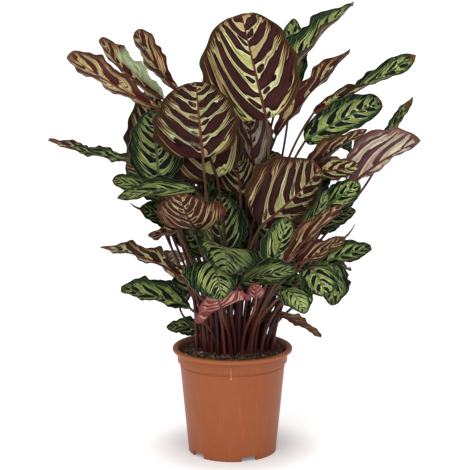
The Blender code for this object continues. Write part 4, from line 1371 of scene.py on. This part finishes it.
def solid_of(node: bpy.types.Object) -> tuple[Array, Array]:
    """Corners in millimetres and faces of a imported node, whose faces are triangles."""
    mesh = node.data
    points = np.empty(3 * len(mesh.vertices), np.float32)
    mesh.vertices.foreach_get("co", points)
    mesh.calc_loop_triangles()
    faces = np.empty(3 * len(mesh.loop_triangles), np.int32)
    mesh.loop_triangles.foreach_get("vertices", faces)
    return points.reshape(-1, 3) / MM, faces.reshape(-1, 3)


def search_tree(points: Array, faces: Array) -> tuple[tuple[Array, Array], BVHTree]:
    """A solid's box and its search tree."""
    used = points[np.unique(faces)]
    return (used.min(axis=0), used.max(axis=0)), BVHTree.FromPolygons(points.tolist(), faces.tolist())


def boxes_meet(a: tuple[Array, Array], b: tuple[Array, Array]) -> bool:
    """Whether two boxes, each a pair of corners, overlap."""
    return bool(np.all(a[0] <= b[1]) and np.all(b[0] <= a[1]))


def arc(centre: Pair, radius: float, start: float, end: float, count: int) -> list[Pair]:
    """Points on an arc from one angle to another, in degrees."""
    angles = np.radians(np.linspace(start, end, count))
    return [(centre[0] + radius * math.cos(a), centre[1] + radius * math.sin(a)) for a in angles]


def on_circle(radius: float, angle: float, level: float) -> Array:
    """A point at an angle from the front, turning toward +X."""
    return np.array([radius * math.sin(angle), -radius * math.cos(angle), level])


@dataclass
class Pot:
    """The nursery pot: a turned shell with notches in its foot, drain holes and a moulding nib.

    Args:
        effects: The shared shader groups.
        collar_foot: Level of the collar's foot.
        collar_step: How far the collar stands out.
        notch_first_angle: In degrees from the front toward +X.
        drain_circle: Radius of the circle that the drain holes lie on.
        nib_level: Level of the moulding mark's bead.
        nib_length: Of the mark.
        turns: Faces round the pot.
        sharp_angle: Between faces, in degrees, from which on their edge is drawn sharp.
    """
    effects: Effects
    height: float = 125.0
    lip_radius: float = 70.0
    lip_height: float = 4.6
    collar_foot: float = 108.0
    collar_step: float = 2.6
    body_top_radius: float = 61.6
    base_radius: float = 52.0
    groove_level: float = 105.0
    foot_ring_height: float = 7.0
    foot_ring_width: float = 2.6
    notch_count: int = 5
    notch_first_angle: float = 22.0
    notch_width: float = 18.0
    notch_height: float = 5.6
    drain_count: int = 6
    drain_radius: float = 5.0
    drain_circle: float = 30.0
    drain_sides: int = 24
    nib_x: float = -1.5
    nib_level: float = 103.0
    nib_length: float = 15.0
    nib_rings: int = 16
    wall: float = 1.4
    turns: int = 180
    sharp_angle: float = 40.0

    def body_radius(self, level: float) -> float:
        """Outer radius of the tapered body at a height."""
        share = (level - self.foot_ring_height) / (self.collar_foot - self.foot_ring_height)
        return self.base_radius + (self.body_top_radius - self.base_radius) * share

    def profile(self) -> Array:
        """The wall as (radius, height), from the floor's middle up, over the lip and down."""
        floor_top = self.foot_ring_height + self.wall
        collar = self.body_radius(self.collar_foot) + self.collar_step
        lip_foot = self.height - self.lip_height
        step, groove = self.collar_foot, self.groove_level
        body, inner = self.body_radius(step), collar - self.wall
        foot_inner = self.base_radius - self.foot_ring_width
        inner_foot = self.body_radius(floor_top) - self.wall
        points = [(0.0, floor_top), (0.5 * inner_foot, floor_top)]
        points += arc((inner_foot - 2.0, floor_top + 2.0), 2.0, -90, 0, 5)
        points += [(self.body_radius(60) - self.wall, 60.0), (body - self.wall, step + 1)]
        points += [(inner, step + 2.4), (inner + 0.4, self.height - 2.2)]
        points += arc((collar + 1.7, self.height - 2.2), 2.2, 160, 95, 6)
        points += arc((self.lip_radius - 2.4, self.height - 2.4), 2.4, 85, -12, 9)
        points += arc((self.lip_radius - 1.2, lip_foot + 0.9), 0.9, -12, -100, 6)
        points += [(collar + 1.2, lip_foot + 0.1)]
        points += arc((collar + 1.0, lip_foot - 0.9), 1.0, 100, 180, 5)
        points += [(collar, step + 6.0)]
        points += arc((collar - 0.9, step + 0.9), 0.9, 0, -80, 5)
        points += [(body, step - 0.3)]
        points += arc((self.body_radius(groove) + 0.25, groove), 0.75, 110, 250, 7)
        points += [(self.body_radius(level), level) for level in (90, 70, 50, 30, 14, 3)]
        points += arc((self.base_radius - 1.1, 0.7), 0.7, 0, -80, 4)
        points += [(foot_inner + 0.5, 0.0), (foot_inner, 0.5)]
        points += [(radius, self.foot_ring_height) for radius in
                   (foot_inner - 0.4, 0.5 * foot_inner, 0.0)]
        return np.array(points)

    def shell(self) -> Body:
        """The profile turned about Z, with its two middles on the axis."""
        profile = self.profile()
        angles = 2 * np.pi * np.arange(self.turns) / self.turns
        rings = np.stack([profile[:, :1] * np.cos(angles), profile[:, :1] * np.sin(angles),
                          np.broadcast_to(profile[:, 1:], (len(profile), self.turns))], axis=-1)
        rings[0, :, :2] *= 0
        places = np.zeros((len(profile), self.turns + 1, 2))
        return Body.loft(rings, places, np.zeros(self.turns, int))

    def cutter(self, name: str, rings: list[Array]) -> bpy.types.Object:
        """Closed prisms that a Boolean cuts out, each from a ring at its foot and one on top."""
        bodies = [Body.loft(ring, np.zeros((2, ring.shape[1] + 1, 2)), np.zeros(ring.shape[1], int))
                  for ring in rings]
        return Body.joined(bodies).piece(name, [])

    def notches(self) -> list[Array]:
        """The rings of the blocks that cut the foot's notches."""
        rings = []
        for number in range(self.notch_count):
            angle = math.radians(self.notch_first_angle) + 2 * math.pi * number / self.notch_count
            out = on_circle(1.0, angle, 0.0)
            side = np.array([-out[1], out[0], 0.0])
            ring = np.array([out * reach + side * (turn * self.notch_width / 2) for reach, turn in
                             ((44.0, -1), (58.0, -1), (58.0, 1), (44.0, 1))])
            rings.append(np.stack([ring + (0, 0, -2.0), ring + (0, 0, self.notch_height)]))
        return rings

    def drains(self) -> list[Array]:
        """The rings of the rods that cut the drain holes."""
        angles = 2 * np.pi * np.arange(self.drain_sides) / self.drain_sides
        ring = self.drain_radius * np.stack([np.cos(angles), np.sin(angles), 0 * angles], axis=1)
        middles = [on_circle(self.drain_circle, 2 * math.pi * k / self.drain_count, 0.0)
                   for k in range(self.drain_count)]
        levels = ((0, 0, self.foot_ring_height - 3), (0, 0, self.foot_ring_height + self.wall + 3))
        return [np.stack([ring + middle + level for level in levels]) for middle in middles]

    def nib(self) -> Body:
        """The moulding mark below the lip: a thin upright ridge that ends in a small bead."""
        rise = np.linspace(0, 1, self.nib_rings)
        level = self.nib_level - 2.0 + self.nib_length * rise
        depth = np.where(level > self.collar_foot, self.collar_step + 0.15, 0.1)
        front = -np.array([self.body_radius(z) for z in level]) - depth
        path = np.stack([np.full(self.nib_rings, self.nib_x), front, level], axis=1)
        radii = 0.42 + 0.6 * np.exp(-((rise - 0.06) / 0.07) ** 2)
        ways = unit(np.gradient(path, axis=0))
        return tube(path, ways, np.array([1.0, 0.0, 0.0]), radii, 8, 0, rise)

    def build(self) -> bpy.types.Object:
        """Make the pot in place of its node.

        Returns:
            The piece.
        """
        material = PlasticFinish().material(self.effects)
        pot = self.shell().piece("pot_shell", [material])
        cutters = [self.cutter("foot_notches", self.notches()),
                   self.cutter("drain_holes", self.drains())]
        merge_doubles(pot)
        for cutter in cutters:
            boolean = pot.modifiers.new(cutter.name, "BOOLEAN")
            boolean.operation = "DIFFERENCE"
            boolean.object = cutter
            boolean.solver = "EXACT"
        applied(pot)
        for cutter in cutters:
            bpy.data.objects.remove(cutter, do_unlink=True)
        pot.data.shade_smooth()
        pot.data.set_sharp_from_angle(angle=math.radians(self.sharp_angle))
        # Painted highlight: the moulding mark is painted paler than the pot, for the light that it
        # catches
        pale = PlasticFinish("pot_plastic_mark", body=(204, 142, 102), deep=(192, 128, 88))
        nib = self.nib().piece("pot_moulding_mark", [pale.material(self.effects)])
        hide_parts("pot")
        for piece in (pot, nib):
            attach(piece, "root")
        LOG.info("pot: %d faces", len(pot.data.polygons))
        return pot


def merge_doubles(piece: bpy.types.Object) -> None:
    """Merge a mesh's corners that lie in one place, and drop faces that this leaves flat."""
    work = bmesh.new()
    work.from_mesh(piece.data)
    bmesh.ops.remove_doubles(work, verts=work.verts, dist=1e-6)
    bmesh.ops.dissolve_degenerate(work, edges=work.edges, dist=1e-6)
    work.to_mesh(piece.data)
    work.free()


def applied(piece: bpy.types.Object) -> None:
    """Put a piece's modifiers into its mesh."""
    graph = bpy.context.evaluated_depsgraph_get()
    mesh = bpy.data.meshes.new_from_object(piece.evaluated_get(graph))
    piece.modifiers.clear()
    old, piece.data = piece.data, mesh
    bpy.data.meshes.remove(old)


def rolling(x: Array, y: Array, lengths: tuple[float, ...], chance: np.random.Generator) -> Array:
    """Lumpy height from -1 to 1: the mean of sines of several lengths in random directions."""
    total = np.zeros_like(x)
    for length in lengths:
        angle, shift = chance.uniform(0, 2 * np.pi, 2)
        total += np.sin((x * math.cos(angle) + y * math.sin(angle)) * 2 * np.pi / length + shift)
    return total / len(lengths)


@dataclass
class Soil:
    """Peat that fills the pot, with crumbs and root threads lying on it.

    Args:
        effects: The shared shader groups.
        pot: What it fills.
        crumbs: How many lumps lie on it.
        threads: How many root threads lie on it.
        seed: Start of its chances.
        looseness: How far the loose top stands over the solid's level.
        mound: How far the solid's middle stands over its level.
        gap: Air between the soil and the pot.
        reach: How far from the middle crumbs and threads lie.
        lump: Height of its lumps.
        crumb_sizes: Least and most of a crumb's radius.
        thread_lengths: The same of a thread's length.
        lengths: Wavelengths of its lumps.
        turns: Faces round its top.
        rings: Rows of them from its middle to its edge.
    """
    effects: Effects
    pot: Pot
    crumbs: int = 1500
    threads: int = 90
    seed: int = 5
    looseness: float = 4.0
    mound: float = 1.6
    gap: float = 0.3
    reach: float = 59.0
    lump: float = 1.6
    crumb_sizes: Pair = (0.4, 2.4)
    thread_lengths: Pair = (5.0, 15.0)
    lengths: tuple[float, ...] = (31.0, 23.0, 17.0, 12.0, 9.0, 7.0, 5.5, 4.5)
    turns: int = 220
    rings: int = 70

    def height(self, x: Array, y: Array) -> Array:
        """Level of the soil: the solid's mound, loosened by watering, with lumps."""
        radius = np.hypot(x, y)
        levels = np.array([self.mound, 0.0, -1.0]) + SOIL_LEVEL
        mound = np.interp(radius, (34.0, 56.0, 61.0), levels) + self.looseness
        return mound + self.lump * rolling(x, y, self.lengths, np.random.default_rng(self.seed))

    def ground(self) -> Body:
        """The soil's body: rings from the middle of its lumpy top out, down and in below."""
        pot = self.pot
        edge = pot.body_radius(pot.collar_foot) - pot.wall - self.gap
        bottom = pot.foot_ring_height + pot.wall + self.gap
        angles = 2 * np.pi * np.arange(self.turns) / self.turns
        radii = np.linspace(0, edge, self.rings)
        x, y = radii[:, None] * np.cos(angles), radii[:, None] * np.sin(angles)
        top = np.stack([x, y, self.height(x, y)], axis=-1)
        lower = [(edge, SOIL_LEVEL - 4.0), (edge, pot.collar_foot),
                 (pot.body_radius(bottom) - pot.wall - self.gap, bottom), (0.0, bottom)]
        rest = np.array([[(r * math.cos(a), r * math.sin(a), z) for a in angles] for r, z in lower])
        rings = np.concatenate([top, rest])
        places = np.zeros((len(rings), self.turns + 1, 2))
        return Body.loft(rings, places, np.zeros(self.turns, int))

    def spots(self, count: int, chance: np.random.Generator) -> Array:
        """Random places on the soil, (count, 3)."""
        radius = self.reach * np.sqrt(chance.uniform(0, 1, count))
        angle = chance.uniform(0, 2 * np.pi, count)
        x, y = radius * np.cos(angle), radius * np.sin(angle)
        return np.stack([x, y, self.height(x, y)], axis=1)

    def crumb_body(self) -> Body:
        """Lumps: a cube of 24 quads blown to a ball, dented, stretched and turned at random."""
        chance = np.random.default_rng(self.seed + 1)
        cube, quads = ball()
        size = chance.lognormal(-0.05, 0.45, (self.crumbs, 1, 1)).clip(*self.crumb_sizes)
        stretch = chance.uniform(0.5, 1.4, (self.crumbs, 1, 3))
        dents = chance.uniform(0.75, 1.2, (self.crumbs, len(cube), 1))
        turns = np.linalg.qr(chance.normal(size=(self.crumbs, 3, 3)))[0]
        turns[:, :, 0] *= np.linalg.det(turns)[:, None]
        places = self.spots(self.crumbs, chance)[:, None] + (0, 0, 0.3)
        points = np.einsum("nij,nkj->nki", turns, cube[None] * dents * stretch * size) + places
        faces = (quads[None] + len(cube) * np.arange(self.crumbs)[:, None, None]).reshape(-1, 4)
        count = len(faces)
        return Body(points.reshape(-1, 3), faces, np.zeros((count, 4, 2)),
                    chance.choice(3, self.crumbs, p=(0.72, 0.2, 0.08)).repeat(len(quads)),
                    np.zeros(points.shape[0] * points.shape[1]))

    def thread_body(self) -> Body:
        """Root threads: thin tubes on bent arcs that lie on the soil."""
        chance = np.random.default_rng(self.seed + 2)
        threads = []
        for start in self.spots(self.threads, chance):
            share = np.linspace(0, 1, THREAD_RINGS)
            length, bend = chance.uniform(*self.thread_lengths), chance.uniform(-2.6, 2.6)
            heading = chance.uniform(0, 2 * np.pi) + bend * share
            x = start[0] + np.cumsum(np.cos(heading)) * length / THREAD_RINGS
            y = start[1] + np.cumsum(np.sin(heading)) * length / THREAD_RINGS
            inside = np.minimum(1.0, self.reach / np.maximum(np.hypot(x, y), 1.0))
            x, y = x * inside, y * inside
            z = self.height(x, y) + 0.3 + 1.2 * chance.uniform() * np.sin(np.pi * share)
            path = np.stack([x, y, z], axis=1)
            ways = unit(np.gradient(path, axis=0) + (1e-6, 0, 0))
            radii = chance.uniform(0.16, 0.42) * (1 - 0.4 * share)
            threads.append(tube(path, ways, np.array([0.0, 0.0, 1.0]), radii, 6, 0, share))
        return Body.joined(threads)

    def build(self) -> list[bpy.types.Object]:
        """Make the soil in place of its node, and what lies on it.

        Returns:
            The pieces.
        """
        peat = SoilFinish().material(self.effects)
        bark = SoilFinish("bark_crumbs", dark=(62, 42, 30), brown=(104, 72, 50),
                          fleck=(140, 104, 74)).material(self.effects)
        pale = SoilFinish("pale_crumbs", dark=(104, 88, 70), brown=(150, 130, 104),
                          fleck=(190, 176, 150)).material(self.effects)
        root = SoilFinish("root_threads", dark=(104, 72, 52), brown=(150, 112, 84),
                          fleck=(170, 134, 104)).material(self.effects)
        ground = self.ground().piece("soil_ground", [peat])
        merge_doubles(ground)
        ground.data.shade_smooth()
        crumbs = self.crumb_body().piece("soil_crumbs", [peat, bark, pale])
        threads = self.thread_body().piece("soil_root_threads", [root])
        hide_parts("soil")
        pieces = [ground, crumbs, threads]
        for piece in pieces:
            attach(piece, "root")
        LOG.info("soil: %d crumbs and %d threads", self.crumbs, self.threads)
        return pieces


def ball() -> tuple[Array, Array]:
    """A ball of 26 points and 24 outward quads, a cube with each side halved both ways."""
    work = bmesh.new()
    bmesh.ops.create_cube(work, size=2.0)
    bmesh.ops.subdivide_edges(work, edges=work.edges, cuts=1, use_grid_fill=True)
    points = np.array([vert.co for vert in work.verts])
    quads = np.array([[vert.index for vert in face.verts] for face in work.faces])
    work.free()
    return unit(points), quads


@dataclass(frozen=True)
class Studio:
    """The camera where the photograph's was, a pale floor and soft light.

    Args:
        eye: The camera's place in millimetres.
        dip: How far it looks down, in degrees.
        focal_pixels: Its focal length in pixels.
        frame_pixels: Width of the frame in pixels.
        sensor: Width of its sensor in millimetres.
        floor_size: Side of the floor in metres.
        glow: Light of the floor itself at the pot and far from it, dim at the pot as a painted shadow.
        painted_shadow_reach: Distances in metres between which it rises.
        surroundings: Light that comes from all round.
    """
    eye: Triple = (3.0, -1800.0, 600.0)
    dip: float = 10.8
    focal_pixels: float = 1590.0
    frame_pixels: float = 470.0
    sensor: float = 36.0
    floor_size: float = 60.0
    glow: Pair = (0.12, 0.5)
    painted_shadow_reach: Pair = (0.055, 0.13)
    surroundings: float = 0.44

    def camera(self) -> None:
        """Make the camera and look through it."""
        data = bpy.data.cameras.new("camera")
        data.sensor_width = self.sensor
        data.lens = self.focal_pixels * self.sensor / self.frame_pixels
        data.clip_start = 0.05
        data.clip_end = 200.0
        camera = placed("camera", data)
        camera.location = Vector(self.eye) * MM
        camera.rotation_euler = (math.radians(90 - self.dip), 0, 0)
        bpy.context.scene.camera = camera

    def floor(self) -> None:
        """A pale floor just under the pot, its own light dimmed near the pot as a painted shadow."""
        side = self.floor_size / 2
        mesh = bpy.data.meshes.new("floor")
        corners = [(-side, -side, 0), (side, -side, 0), (side, side, 0), (-side, side, 0)]
        mesh.from_pydata(corners, [], [(0, 1, 2, 3)])
        floor = placed("floor", mesh)
        material = bpy.data.materials.new("pale_floor")
        material.use_nodes = True
        tree = Tree(material.node_tree)
        inputs = material.node_tree.nodes["Principled BSDF"].inputs
        away = tree.out("VectorMath", {0: tree.place()}, "Value", operation="LENGTH")
        # Painted shadow: the floor's own light is dimmed near the pot, drawing a soft shadow round its
        # foot
        tree.feed(inputs["Emission Strength"], away.step(*self.painted_shadow_reach).span(*self.glow))
        for name, value in (("Base Color", (0.9, 0.9, 0.9, 1)), ("Roughness", 0.8),
                            ("Specular IOR Level", 0.1), ("Emission Color", (1, 1, 1, 1))):
            inputs[name].default_value = value
        mesh.materials.append(material)

    def light(self, name: str, strength: float, angle: float, tilt: Triple) -> None:
        """One sun, soft by its wide angle, turned by Euler angles in degrees."""
        data = bpy.data.lights.new(name, "SUN")
        data.energy = strength
        data.angle = math.radians(angle)
        placed(name, data).rotation_euler = tuple(math.radians(a) for a in tilt)

    def build(self) -> None:
        """Make the camera, the floor, the lights and the pale surroundings."""
        self.camera()
        self.floor()
        self.light("key", 1.6, 80, (44, -14, 0))
        self.light("front", 0.6, 90, (64, 10, 0))
        world = bpy.data.worlds.new("surroundings")
        world.use_nodes = True
        sky = world.node_tree.nodes["Background"].inputs
        sky["Color"].default_value = (1, 1, 1, 1)
        sky["Strength"].default_value = self.surroundings
        bpy.context.scene.world = world
        bpy.context.scene.view_settings.view_transform = "Standard"
        LOG.info("studio: camera, floor and two soft lights")


def main() -> None:
    """Build the studio, the pot, the soil and the leaves."""
    logging.basicConfig(level=logging.INFO, format="%(message)s")
    effects = Effects(grain_effect(), Markings().effect())
    Studio().build()
    pot = Pot(effects)
    pot.build()
    Soil(effects, pot).build()
    Foliage(effects).build()


if __name__ == "__main__":
    main()
